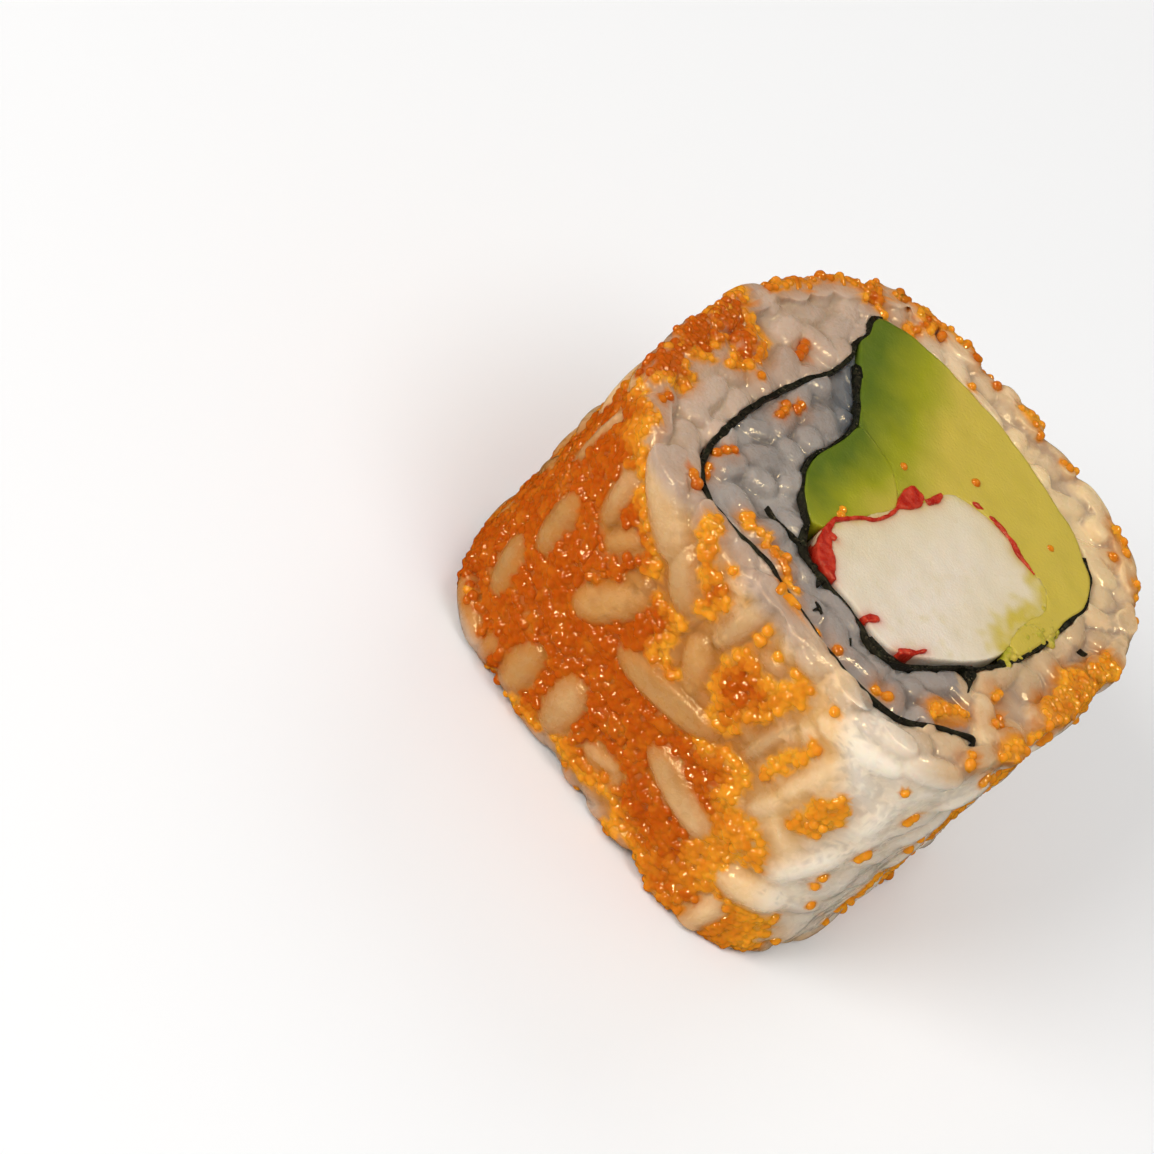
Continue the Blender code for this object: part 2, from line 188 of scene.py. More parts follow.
# ---- grains ------------------------------------------------------------------------------------
GRAIN_LENGTH = 6.6
GRAIN_WIDTH = 2.7
GRAIN_HEIGHT = 2.2
GRAIN_BLUNTNESS = 2.8
GRAIN_FACETS = (16, 10)
CRUMB_FACETS = (10, 6)
GRAIN_SEED = 5
LENGTH_VARIES = (0.75, 1.15)
WIDTH_VARIES = (0.85, 1.15)
SIDE_MARGIN = 1.0                 # from a side grain's middle to either cut
WHOLE_SPACING = 4.6               # of grains that lie whole on the side
WHOLE_TRIES = 2500
WHOLE_PROUD = (0.6, 0.95)
BED_SPACING = 2.1                 # of the bed of grains that they lie on
BED_TRIES = 5000
BED_PROUD = (0.0, 0.45)
IN_SIGHT = 0.12                   # the photograph shows the side where it faces the camera this far
IN_SIGHT_TO = 20                  # and up to this x of the front readings
CUT_REACH = 21
CUT_TRIES = 9000
CUT_SPACING = 2.4
CUT_MARGIN = 1.1                  # from a cut grain's middle to the side
CUT_LENGTHS = (2.6, 6.2)
CUT_WIDTHS = (2.3, 2.9)
CUT_SUNK = (0.12, 0.5)            # how far a grain's cut lies below the tallest ones
CUT_BEDDED = (0.55, 0.95)         # and its middle below its cut
CUT_DOME = 0.4                    # of its height that a cut grain keeps past its cut
COVERS_ROE = (0.9, 0.8)           # a whole grain hides roe inside this share of its outline and height
# Grains that show whole on the front: front reading, length, width, lean, how far they stand out.
FRONT_GRAINS = (
    (-9.6, 26.0, 9.6, 3.9, -36, 0.95), (-4.5, 22.9, 6.4, 3.3, -46, 0.9), (-12.4, 22.9, 6.4, 2.5, 103, 0.7),
    (-16.7, 24.8, 7.6, 1.8, 92, 0.6), (-14.2, 16.8, 6.9, 2.9, 98, 0.95), (-14.6, 10.1, 5.8, 3.2, 112, 0.9),
    (-7.2, 15.9, 8.2, 3.7, 64, 0.9), (-9.8, 20.4, 4.4, 2.4, 60, 0.6), (-6.6, 19.1, 3.2, 2.4, 20, 0.5),
    (0.9, 14.5, 10.6, 3.3, 12, 1.0), (0.9, 24.4, 7.4, 2.6, 86, 0.7), (0.8, 18.6, 5.8, 3.2, -58, 0.6),
    (7.0, 9.5, 8.8, 3.5, -13, 1.0), (16.3, 8.6, 6.0, 3.4, 3, 1.0), (-3.9, 5.7, 6.8, 3.8, 97, 0.9),
    (-8.3, 4.6, 6.4, 3.3, 92, 0.8), (-14.3, 3.9, 6.4, 3.4, -24, 0.95), (1.3, 5.3, 5.0, 2.3, 18, 0.5),
    (3.3, 1.5, 4.2, 3.1, 20, 0.8), (15.0, 2.9, 6.6, 2.6, 84, 0.8), (8.7, 19.4, 7.4, 2.2, 83, 0.5),
    (4.7, 24.3, 2.8, 2.1, 15, 0.4), (12.9, 20.2, 9.0, 2.8, 80, 0.5), (-1.4, 1.1, 6.4, 2.4, -3, 0.4),
    (-11.3, 3.1, 3.6, 2.2, 90, 0.5), (17.6, 14.4, 7.4, 3.2, 62, 0.7), (12.2, 15.2, 5.0, 2.6, 70, 0.4),
    (13.7, 25.6, 7.6, 3.2, 10, 0.5), (18.6, 22.4, 6.8, 3.0, 95, 0.5), (6.6, 27.2, 4.4, 2.4, 5, 0.4),
    (-0.9, 27.0, 3.4, 2.2, 30, 0.3), (-17.7, 13.0, 4.6, 1.2, 88, 0.5), (20.6, 9.6, 5.0, 2.8, 80, 0.6),
    (20.4, 16.2, 5.6, 2.8, 100, 0.5), (-20.6, 24.0, 6.0, 2.6, 95, 0.3),
)
# Grains that show their knife cut: plan reading, length, width, lean.
CUT_GRAINS = (
    (15.3, -5.7, 3.6, 2.7, -60), (12.7, -10.6, 6.0, 2.8, 62), (17.4, -14.2, 4.4, 3.0, 60),
    (17.1, -1.6, 4.2, 3.2, -60), (9.8, -19.4, 3.4, 2.6, 10), (12.9, -19.0, 3.2, 2.6, 20),
    (6.2, -19.9, 3.4, 2.4, 0), (15.8, -17.0, 3.4, 2.6, 50),
    (-3.0, -11.9, 3.2, 2.4, 20), (4.6, -14.3, 4.6, 1.9, -6), (0.3, -18.9, 2.6, 2.3, 0),
    (-9.0, -1.0, 5.0, 3.4, 75), (-8.2, -9.4, 5.6, 3.2, 60), (-9.6, -13.6, 4.4, 3.0, 80),
    (-6.6, -15.6, 4.4, 2.8, -10), (-17.4, -8.6, 7.0, 2.6, 84), (-15.2, -10.6, 6.4, 2.7, 96),
    (-17.2, 5.4, 6.6, 3.0, 80), (-14.6, 8.0, 5.4, 2.8, 100), (8.6, -16.6, 4.6, 2.6, 12),
)

# ---- roe ---------------------------------------------------------------------------------------
ROE_RADIUS = 0.43
ROE_VARIES = (0.8, 1.15)
LONE_ROE_RADIUS = 0.5
ROE_FACETS = (12, 7)
ROE_SPACING = 0.68
ROE_ROW_PITCH = 0.87              # the rows lie closer than the beads in them
ROE_ROW_SPACING = ROE_SPACING * ROE_ROW_PITCH
ROE_JITTER = 0.35                 # of the spacing
ROE_DROP = 4                      # beads are dropped on the side from this far out
LONE_ROE_SPACING = 0.85
ROE_STRAY = 0.5
ROE_SEED = 8
ROE_RAGGED = (0.3, 0.9)           # how far, and over what length, its fields' edges wander
ROE_IN_SIGHT = 0.04
LEFT_OUT_OF_SIGHT = (-0.45, 1.2)  # past the left, where the side faces this way, roe lies this deep
ROE_CLOUDS = (2.6, 6, 0.12)       # elsewhere it lies in clouds: depth, length, share added
ROE_RISE = (-0.2, 0.2)            # how far a bead's middle stands out of the rice, in radii
ROE_EDGE_RISE = -0.12             # the same where the roe lies thin, on top of it
ROE_JELLY = 0.16                  # the wet roe fills up this high between its beads
ROE_BEDDED = 0.8                  # its hidden side lies this much deeper than the beads reach
ROE_TURNED_IN = -0.3              # and is what faces into the rice more than this
ROE_VOXEL = 0.13
SPLIT_WANDER = 4                  # its lower, middle and upper pieces meet along wandering lines
SPLIT_LENGTH = 3
ROE_FACES = 190000
ROE_HEAP_DEPTH = 1.6              # this far inside its field the roe is heaped and deep in colour
HEAPED_VARIES = 0.12
AMBER_PULL = 0.7                  # where the rice is bare, this share of the colour stays amber
AMBER_FROM = (3, 14)              # and to the right of this x, over this reach
RIGHT_ROE_HEAPED = 0.55           # shares of a cut's roe, by where it lies
MIDDLE_ROE_HEAPED = 1.5
LONE_ROE_HEAPED = 0.35
LEFT_ROE_HEAPED = 0.7             # of single beads up to this x
LEFT_ROE_TO = -5
ROE_GROUND = 22                   # a cut's beads are drawn up to this x and y
ROE_LEAST_DEPTH = 0.05
LOWER_CUT_FREE = 17               # the lower cut has roe only past this radius
CUT_ROE_DEPTH = 5                 # beads don't fall deeper than this into a cut
STAIN_REACH = 3.5
STAIN_FADES = 1.5
STAIN_COUNT_REACH = 1.6
STAIN_COUNT = 6                   # beads this near stain the rice in full
LONE_STAIN = 0.15
STAIN_RIGHT_FROM = 8              # on the cuts, the stain is stronger to the right of this x
STAIN_MORE_RIGHT = 0.5
STAIN_LESS_LEFT = 0.35
STAIN_LESS_BARE = 0.65
SOAKED_REACH = 0.6
SOAKED_EDGE = 0.15
JELLY_COUNT = (5, 4)              # beads this near that the jelly needs, and how many more for all
# Ground that roe covers between the grains, as outlines of front readings.
FRONT_FIELDS = (
    ((-30, 34), (-15.2, 31), (-14.2, 28.3), (-13.0, 27.3), (-12.2, 25.6), (-10.6, 24.9), (-9.4, 24.2),
     (-7.4, 22.7), (-6.3, 21.6), (-6.2, 20.8), (-5.3, 20.2), (-2.0, 20.1), (-1.6, 18.8), (-2.0, 16.4),
     (-0.6, 16.6), (0.9, 16.4), (1.3, 15.3), (5.6, 15.4), (6.0, 14.5), (6.4, 15.6), (9.6, 16.0),
     (10.3, 14.6), (10.4, 13.2), (13.4, 13.4), (14.4, 12.2), (16.0, 11.2), (15.8, 10.4), (14.0, 9.6),
     (13.4, 8.4), (14.4, 7.2), (17.2, 7.2), (18.8, 8.2), (19.3, 9.4), (19.7, 6.8), (19.6, 4.0),
     (19.2, 1.6), (18.4, -1), (8.4, -1), (8.2, 1.2), (7.0, 1.8), (6.3, 1.2), (6.2, 0.2), (5.0, 0.2),
     (4.9, 1.6), (4.4, 2.8), (3.0, 3.1), (1.2, 2.4), (-1.0, 2.2), (-2.6, 2.4), (-6.0, 1.4), (-7.6, 1.6),
     (-8.2, -2), (-30, -6)),
    ((1.4, 19.0), (1.8, 20.6), (2.3, 23.0), (2.2, 25.4), (3.2, 25.2), (3.1, 23.4), (6.0, 23.2),
     (6.6, 25.0), (5.4, 26.0), (5.6, 27.2), (7.0, 27.0), (8.4, 25.4), (8.7, 24.0), (7.8, 22.0),
     (7.4, 20.0), (6.6, 18.0), (6.4, 16.2), (4.6, 16.1), (3.8, 17.2), (2.4, 18.4)),
    ((-6.7, 30), (-4.6, 29.4), (-4.8, 28), (-3.9, 26), (-3.0, 26.2), (-2.2, 27.2), (-0.9, 28.2),
     (-0.2, 27.6), (-0.7, 26), (-0.5, 23.6), (-1.0, 22.2), (-2.6, 21.6), (-3.6, 22.6), (-3.7, 24.2),
     (-5.2, 25.3), (-6.6, 26.7)),
    ((9.6, 16.2), (10.9, 16.4), (11.1, 18.0), (11.7, 21.0), (11.9, 22.6), (11.2, 23.0), (10.8, 21.4),
     (10.1, 18.6)),
    ((14.1, 16.0), (15.4, 16.0), (16.4, 17.2), (17.0, 19.0), (16.8, 20.6), (16.0, 21.8), (15.3, 21.6),
     (14.8, 20.0), (14.4, 18.0)),
)
# Single beads and short rows of them: reading, half length, lean.
FRONT_SPOTS = (
    (2.6, 26.1, 0.5, 0), (4.5, 25.3, 0.5, 20), (10.5, 26.1, 0.5, 0), (18.5, 26.3, 0.5, 0),
    (20.2, 25.4, 1.0, 90), (19.8, 19.4, 1.0, 92), (19.2, 14.5, 1.0, 100), (20.3, 12.4, 0.5, 0),
    (20.6, 7.6, 0.5, 90), (-5.8, 29.0, 0.5, 0),
)
# The same on the upper cut, as plan readings.
CUT_FIELDS = (
    ((-21.6, 1.2), (-20.8, 0.6), (-19.6, 0.4), (-19.2, -0.4), (-18.2, 0.4), (-17.3, -0.2), (-17, -1.2),
     (-16.4, 0.6), (-15.9, 0.2), (-16, -1), (-15.5, -1.8), (-14.7, -2.6), (-15.2, -3.4), (-15.2, -5.8),
     (-16.2, -6.6), (-17, -5), (-17.8, -4.4), (-17.9, -6), (-17.1, -7), (-17.3, -8.2), (-18, -9.2),
     (-17.6, -10.6), (-16.2, -10.8), (-15.4, -12), (-16.8, -13), (-17.6, -14), (-18, -16),
     (-17.4, -18.6), (-16.9, -22), (-22, -22)),
    ((-16.2, -17.6), (-15.4, -17), (-14.7, -18.4), (-14.6, -22), (-16.2, -22)),
    ((-18.8, 11.6), (-17.6, 13.4), (-16.8, 14.6), (-17.1, 16.4), (-16.5, 17), (-16.1, 16.2),
     (-15.2, 15), (-13.8, 14.2), (-13.6, 13.4), (-15, 12.9), (-17, 12.4)),
    ((-12.9, 17.6), (-12.5, 18.6), (-11.4, 18.8), (-10.8, 19.6), (-10.7, 20.8), (-10.1, 20.9),
     (-9.8, 19.4), (-10.4, 17.6), (-10.5, 16), (-11.4, 15), (-12.2, 14.7), (-12.2, 16.4)),
    ((18.4, 8.2), (20, 8.3), (21.4, 6.4), (21.6, 3), (22, 0.5), (22, -3), (21.4, -5.4), (22, -7.4),
     (22.2, -9.4), (22, -12.4), (21.2, -12.6), (20.6, -11), (19.6, -10.6), (19.8, -8.6), (20.6, -7),
     (20.4, -5), (19.6, -3.2), (18.8, -3.1), (18.6, -1.4), (18.8, 0.4), (17.9, 1.2), (18, 3), (18.7, 5)),
    ((14.2, -13.6), (14.6, -14.5), (15, -13.9), (15.8, -12.8), (16.5, -11.8), (16.4, -10.2),
     (16, -9.9), (15.7, -10.8), (15.2, -11.6), (14.4, -12.2)),
    ((-5.7, -15.9), (-5.2, -15.5), (-4.4, -16.2), (-3.6, -16), (-2.6, -15.7), (-1, -15.3),
     (-0.6, -16), (0.6, -16.3), (1.6, -17.1), (1.2, -17.4), (-0.6, -17.3), (-2.4, -17),
     (-3.6, -17), (-4.2, -17.5), (-5, -17.2), (-5.6, -16.8)),
)
CUT_SPOTS = (
    (-10.7, -2.7, 0.9, 80), (-11.2, -4.7, 1.4, 100), (-10.6, -13.4, 1.4, 84), (-10.0, -16.0, 0.9, 110),
    (-9.8, -18.5, 0.9, -20), (-16.5, -15.3, 0.9, 80), (4.8, -17.9, 0.5, 0), (6.9, -17.9, 0.5, 0),
    (11.4, -16.8, 0.9, 20), (18.1, -7.8, 1.4, 95), (19.3, -13.7, 0.9, -46), (-18.7, 10.3, 0.9, 70),
    (-14.5, 2.7, 1.2, -56), (-0.7, 20.2, 0.5, 0), (0.8, 19.8, 0.9, -30), (4.6, 19.7, 0.5, 0),
    (12.5, 19.0, 0.9, -50), (12.7, 17.0, 0.5, 90), (-6.6, 20.0, 0.9, 60), (18.1, 14.2, 0.9, -50),
    (-9.7, 17.9, 0.5, 0),
)
# Single beads on the filling.
LONE_ROE = ((1.7, 8.7), (9.3, 10.8), (-2.4, 2.6), (-1.7, -7.5), (-2.0, -6.9))

# ---- the crab stick's red, the avocado's smear and crumbs, and how deep they lie ---------------
RED_DEPTH = 1.6
RED_BLUSH = (0.5, 0.35)           # share and reach of its stain on the meat
RED_STRIPS = (
    ((-1.7, -8.2, 0.25), (-1.5, -9.3, 0.5), (-1.1, -10.4, 0.8), (-0.4, -11.5, 1.3), (0.6, -12.4, 1.6),
     (1.6, -13.0, 0.9), (2.3, -13.2, 0.3)),
    ((-1.0, -10.1, 0.5), (-0.3, -10.0, 0.5)),
    ((0.15, -1.2, 0.3), (0.25, -3.0, 0.25), (0.0, -4.6, 0.25), (-0.6, -5.6, 0.28), (-1.0, -6.6, 0.28),
     (-1.6, -8.4, 0.3)),
    ((6.0, -13.4, 0.5), (6.2, -12.6, 0.7), (6.6, -12.0, 0.4)),
    ((10.6, -9.8, 0.15), (10.2, -11.2, 0.4), (9.5, -12.5, 0.5)),
    ((0.15, -1.4, 0.3), (0.1, -0.4, 1.1), (0.1, 0.9, 1.8), (-0.1, 2.0, 1.2)),
    ((1.0, 2.0, 0.4), (1.15, 3.2, 0.6), (1.1, 4.0, 0.3)),
    ((2.9, 6.5, 0.2), (3.4, 6.8, 0.45), (3.9, 7.1, 0.15)),
    ((4.5, 7.1, 0.3), (5.2, 7.35, 0.4), (7.0, 7.4, 0.25), (8.0, 7.1, 0.5), (9.2, 7.0, 0.22),
     (10.4, 7.0, 0.1)),
)
SMEAR_REACH = 1.15                # avocado tints the crab stick this far in
FAINT_SMEAR = (0.3, 7)            # and faintly, by this share at most, this far in
SMEARED_CORNER = (6, 6)           # more so from this x on, in full this much further
SMEAR_FULL = 1.1                  # over 1, so that the very edge is smeared in full
SMEAR_SHARES = (0.45, 0.5)        # everywhere, and added at the corner
SMEAR_WIDENS = 1.8                # at the corner, in reaches
SMEAR_UNEVEN = (0.5, 0.9)         # share and length
# Where the avocado is crumbled past the crab stick's corner: plan reading, reach.
CRUMBS = (
    (13.5, 3.8, 1.7), (14.2, 2.8, 1.5), (13.9, 1.4, 1.8), (14.3, 0.2, 1.5), (14.2, -1.2, 1.2),
    (14.5, -2.2, 0.9), (15.2, 3.6, 1.0), (13.2, 2.2, 1.2), (13.4, 5.0, 1.4), (14.8, 4.4, 0.9),
)
CRUMBS_PER_REACH = 14
CRUMB_SEED = 3
CRUMB_SIZES = (0.4, 0.9)
CRUMB_SUNK = (0.5, 0.9)
CRUMB_VOXEL = 0.12
RED_VOXEL = 0.12
SCRAPS_VOXEL = 0.08
FILLING_SUNK = 0.3                # below the tallest beads
RED_SUNK = 0.15
RED_GROWS = 0.05
SCRAPS_SUNK = 0.5
LUMPS = (0.09, 0.7)               # of the red skin and the scraps: height, length

# ---- light -------------------------------------------------------------------------------------
LAMP_DISTANCE = 0.8               # metres
# Soft lamps light the piece, and small ones only glint on wet food: name, azimuth, elevation,
# size in metres, watts.
SOFT_LAMPS = (
    ("Key", -32, 35, 0.45, 3.5), ("Fill", 54, 65, 0.45, 1.6), ("Back", 190, 40, 0.45, 0.9),
)
GLINT_LAMPS = (
    ("Glint low", -5, 18, 0.2, 3.2), ("Glint left", -62, 22, 0.2, 2.2),
    ("Glint high", 150, 75, 0.16, 2.6),
)
SOFT_COLOUR = (1, 1, 1)
GLINT_COLOUR = (1, 0.76, 0.4)
SKY_STRENGTH = 0.45
FLOOR_REACH = 3                   # metres

# ---- colours, linear, and where they turn ------------------------------------------------------
WARM_CUT_FROM_TO = (-6, 12)       # across the cut, where its rice turns from grey to cream
BACK_CUT_FROM_TO = (11, 16)       # y, where it grows lighter
CREAM_FROM_TO = (0, 0.6)          # bareness, where the side turns from tinted to cream
WHITE_FROM_TO = (0.78, 1)         # and on to white
# The _DEEP rice colours are painted shade: the rice turns to them in hollows, is lighter on rises, and also
# varies in random patches. On the tinted rice they also stand for roe juice pooled in the hollows.
WHITE_RICE = (0.93, 0.82, 0.66)
WHITE_RICE_DEEP = (0.84, 0.69, 0.50)
CREAM_RICE = (0.92, 0.64, 0.34)
CREAM_RICE_DEEP = (0.72, 0.41, 0.14)
TINTED_RICE = (0.63, 0.32, 0.10)
TINTED_RICE_DEEP = (0.40, 0.145, 0.02)
CUT_RICE = (0.585, 0.425, 0.31)
CUT_RICE_WARM = (0.75, 0.525, 0.29)
CUT_RICE_DEEP = (0.48, 0.33, 0.215)
INNER_RICE = (0.405, 0.35, 0.30)
INNER_RICE_DEEP = (0.23, 0.195, 0.165)
CLEAR_RICE_TINT = (0.76, 0.75, 0.76)
BACK_RICE_TINT = (1.2, 1.26, 1.24)
# painted shade on the rice that slopes down to the sheet's start
WEDGE_SHADE = (0.125, 0.13, 0.135)
STAINED_RICE = (0.52, 0.185, 0.03)
ROE_DEEP = (0.515, 0.092, 0.004)
ROE_AMBER = (0.85, 0.33, 0.02)
NORI_DARK = (0.006, 0.006, 0.004)
NORI_GREEN = (0.02, 0.022, 0.01)
AVOCADO_GREEN = (0.103, 0.147, 0.011)
AVOCADO_OLIVE = (0.31, 0.30, 0.01)
AVOCADO_YELLOW = (0.555, 0.415, 0.058)
CRAB_WHITE = (0.74, 0.635, 0.505)
CRAB_SHADE = (0.66, 0.55, 0.38)
CRAB_RED = (0.56, 0.045, 0.018)
CRAB_DEEP_RED = (0.40, 0.015, 0.007)
FLOOR_WHITE = (0.94, 0.94, 0.94)
FLOOR_SHADE = (0.92, 0.92, 0.92)


# ---- material nodes ----------------------------------------------------------------------------
class Finish:
    """A Principled material whose colour and relief are built up from nodes.

    Glow is how far light sinks in: its weight, the share of each colour, the depth.
    """

    def __init__(self, name, glow=None, **sockets):
        self.material = bpy.data.materials.new(name)
        self.material.use_nodes = True
        self.nodes = self.material.node_tree.nodes
        self.links = self.material.node_tree.links
        self.shader = self.nodes["Principled BSDF"]
        if glow:
            sockets["Subsurface_Weight"], sockets["Subsurface_Radius"], depth = glow
            sockets["Subsurface_Scale"] = depth * MM
        for socket, value in sockets.items():
            self.shader.inputs[socket.replace("_", " ")].default_value = value
        self.place = self.nodes.new("ShaderNodeTexCoord").outputs["Object"]

    def feed(self, socket, value):
        """Link an output to a socket, or set a plain value on it."""
        if isinstance(value, bpy.types.NodeSocket):
            self.links.new(value, socket)
        elif isinstance(value, tuple):
            socket.default_value = (*value, 1)
        else:
            socket.default_value = value

    def scaled_place(self, size, stretch):
        mapping = self.nodes.new("ShaderNodeMapping")
        mapping.inputs["Scale"].default_value = [axis / (size * MM) for axis in stretch]
        self.links.new(self.place, mapping.inputs["Vector"])
        return mapping.outputs["Vector"]

    def clouds(self, size, detail=3, stretch=(1, 1, 1)):
        """Noise with features of about a size in millimetres, 0 to 1."""
        texture = self.nodes.new("ShaderNodeTexNoise")
        texture.inputs["Scale"].default_value = 1
        texture.inputs["Detail"].default_value = detail
        self.links.new(self.scaled_place(size, stretch), texture.inputs["Vector"])
        return texture.outputs["Fac"]

    def cells(self, size, stretch=(1, 1, 1)):
        texture = self.nodes.new("ShaderNodeTexVoronoi")
        texture.inputs["Scale"].default_value = 1
        self.links.new(self.scaled_place(size, stretch), texture.inputs["Vector"])
        return texture.outputs["Distance"]

    def share(self, name):
        node = self.nodes.new("ShaderNodeAttribute")
        node.attribute_name = name
        return node.outputs["Fac"]

    def spread(self, value, low, high, to_low=0.0, to_high=1.0):
        """A value's stretch from low to high taken to another stretch, and held at its ends."""
        node = self.nodes.new("ShaderNodeMapRange")
        for socket, number in zip(("Value", "From Min", "From Max", "To Min", "To Max"),
                                  (value, low, high, to_low, to_high)):
            self.feed(node.inputs[socket], number)
        return node.outputs["Result"]

    def combine(self, operation, first, second):
        node = self.nodes.new("ShaderNodeMath")
        node.operation = operation
        self.feed(node.inputs[0], first)
        self.feed(node.inputs[1], second)
        return node.outputs[0]

    def blend(self, share, first, second):
        """The first colour turning into the second as the share goes from 0 to 1."""
        node = self.nodes.new("ShaderNodeMix")
        node.data_type = "RGBA"
        self.feed(node.inputs[0], share)
        self.feed(node.inputs[6], first)
        self.feed(node.inputs[7], second)
        return node.outputs[2]

    def tone(self, share, colour, tint):
        """A colour multiplied by a tint as far as the share says."""
        node = self.nodes.new("ShaderNodeMix")
        node.data_type = "RGBA"
        node.blend_type = "MULTIPLY"
        self.feed(node.inputs[0], share)
        self.feed(node.inputs[6], colour)
        self.feed(node.inputs[7], tint)
        return node.outputs[2]

    def lean_distance(self, x_share, y_share):
        """A point's plan distance in millimetres along a direction."""
        node = self.nodes.new("ShaderNodeVectorMath")
        node.operation = "DOT_PRODUCT"
        node.inputs[1].default_value = (x_share / MM, y_share / MM, 0)
        self.links.new(self.place, node.inputs[0])
        return node.outputs["Value"]

    def relief(self, height, depth, strength=1.0):
        node = self.nodes.new("ShaderNodeBump")
        node.inputs["Strength"].default_value = strength
        node.inputs["Distance"].default_value = depth * MM
        self.links.new(height, node.inputs["Height"])
        self.links.new(node.outputs["Normal"], self.shader.inputs["Normal"])
        self.links.new(node.outputs["Normal"], self.shader.inputs["Coat Normal"])

    def done(self, colour, roughness):
        self.feed(self.shader.inputs["Base Color"], colour)
        self.feed(self.shader.inputs["Roughness"], roughness)
        return self.material


def roe_colour(finish):
    """Amber where the roe lies thin, deeper orange where it is heaped."""
    wander = finish.spread(finish.clouds(2.0), 0.3, 0.7, -0.25, 0.25)
    return finish.blend(finish.combine("ADD", finish.share("ripe"), wander), ROE_AMBER, ROE_DEEP)


def side_colour(finish, sunk):
    """White where the side is bare, then cream, and tinted by roe juice on the rest; each is darker in
    hollows as painted shade, and on the tinted rice roe juice also pools there.
    """
    bare = finish.share("bare")
    white = finish.blend(finish.share("hollow"), WHITE_RICE, WHITE_RICE_DEEP)
    tinted = finish.blend(sunk, TINTED_RICE, TINTED_RICE_DEEP)
    cream = finish.blend(sunk, CREAM_RICE, CREAM_RICE_DEEP)
    half_bare = finish.blend(finish.spread(bare, *CREAM_FROM_TO), tinted, cream)
    return finish.blend(finish.spread(bare, *WHITE_FROM_TO), half_bare, white)


def cut_colour(finish, sunk):
    """Grey at the left of a cut, cream at its right and lighter at its back, and darker in hollows as painted
    shade.
    """
    warm = finish.spread(finish.lean_distance(1, 0.6), *WARM_CUT_FROM_TO)
    colour = finish.blend(sunk, finish.blend(warm, CUT_RICE, CUT_RICE_WARM), CUT_RICE_DEEP)
    at_back = finish.spread(finish.lean_distance(0, 1), *BACK_CUT_FROM_TO)
    return finish.tone(at_back, colour, BACK_RICE_TINT)


def rice_finish():
    """Moist rice, from the side's and the cuts' own colours to what the roe stains and soaks."""
    finish = Finish("Rice", (0.6, (1.0, 0.6, 0.4), 0.7),
                    Specular_IOR_Level=0.3, Coat_Weight=0.5, Coat_Roughness=0.07)
    patches = finish.spread(finish.clouds(2.6), 0.35, 0.65, -0.3, 0.3)
    # sunk is painted shade in the hollows, lighter on the rises, plus random patches
    sunk = finish.combine("ADD", finish.share("hollow"), patches)
    rice = finish.blend(finish.share("cut"), side_colour(finish, sunk), cut_colour(finish, sunk))
    rice = finish.blend(finish.share("inner"), rice, finish.blend(sunk, INNER_RICE, INNER_RICE_DEEP))
    rice = finish.tone(finish.share("clear"), rice, CLEAR_RICE_TINT)
    # painted shade on the rice sloping down to the sheet's start
    rice = finish.blend(finish.share("wedge_shade"), rice, WEDGE_SHADE)
    patchy = finish.spread(finish.clouds(1.4), 0.3, 0.7, 0.7, 1.2)
    rice = finish.blend(finish.combine("MULTIPLY", finish.share("stain"), patchy), rice, STAINED_RICE)
    rice = finish.blend(finish.share("soaked"), rice, roe_colour(finish))
    fine = finish.spread(finish.clouds(0.25, 2), 0, 1, 0, 0.6)
    uneven = finish.combine("ADD", finish.clouds(0.7, 3), fine)
    smooth_where_bare = finish.spread(finish.share("bare"), 0.4, 1, 1, 0.35)
    finish.relief(finish.combine("MULTIPLY", uneven, smooth_where_bare), 0.1, 0.7)
    return finish.done(rice, finish.spread(finish.clouds(1.1, 4), 0.4, 0.6, 0.12, 0.42))


def roe_finish():
    finish = Finish("Roe", (0.8, (1.0, 0.5, 0.15), 0.35), Specular_IOR_Level=0.05,
                    Coat_Weight=1.0, Coat_Roughness=0.05, Coat_IOR=1.7)
    finish.relief(finish.clouds(0.3), 0.01, 0.3)
    return finish.done(roe_colour(finish), finish.spread(finish.clouds(0.5), 0.4, 0.6, 0.12, 0.3))


def nori_finish():
    finish = Finish("Nori", Specular_IOR_Level=0.25)
    finish.relief(finish.combine("ADD", finish.clouds(0.35, 5), finish.cells(0.3)), 0.08)
    colour = finish.blend(finish.spread(finish.clouds(0.8, 4), 0.45, 0.75), NORI_DARK, NORI_GREEN)
    return finish.done(colour, finish.spread(finish.clouds(0.6), 0.4, 0.6, 0.25, 0.65))


def avocado_finish(name, y_share, green_to, yellow_from):
    """Flesh that is green where it lay under the skin and yellow towards the stone."""
    finish = Finish(name, (0.3, (0.8, 1.0, 0.2), 0.6),
                    Specular_IOR_Level=0.2, Coat_Weight=0.15, Coat_Roughness=0.15)
    wander = finish.spread(finish.clouds(4, 2), 0.3, 0.7, -1.0, 1.0)
    depth = finish.combine("ADD", finish.lean_distance(1, y_share), wander)
    middle = (green_to + yellow_from) / 2
    green = finish.blend(finish.spread(depth, green_to, middle), AVOCADO_GREEN, AVOCADO_OLIVE)
    flesh = finish.blend(finish.spread(depth, middle, yellow_from), green, AVOCADO_YELLOW)
    mottled = finish.blend(finish.spread(finish.clouds(1.2, 4), 0.5, 0.8, 0, 0.12), flesh, AVOCADO_OLIVE)
    finish.relief(finish.combine("ADD", finish.clouds(1.4, 3), finish.clouds(0.25, 3)), 0.08, 0.5)
    return finish.done(mottled, finish.spread(finish.clouds(1.5), 0.35, 0.65, 0.3, 0.5))


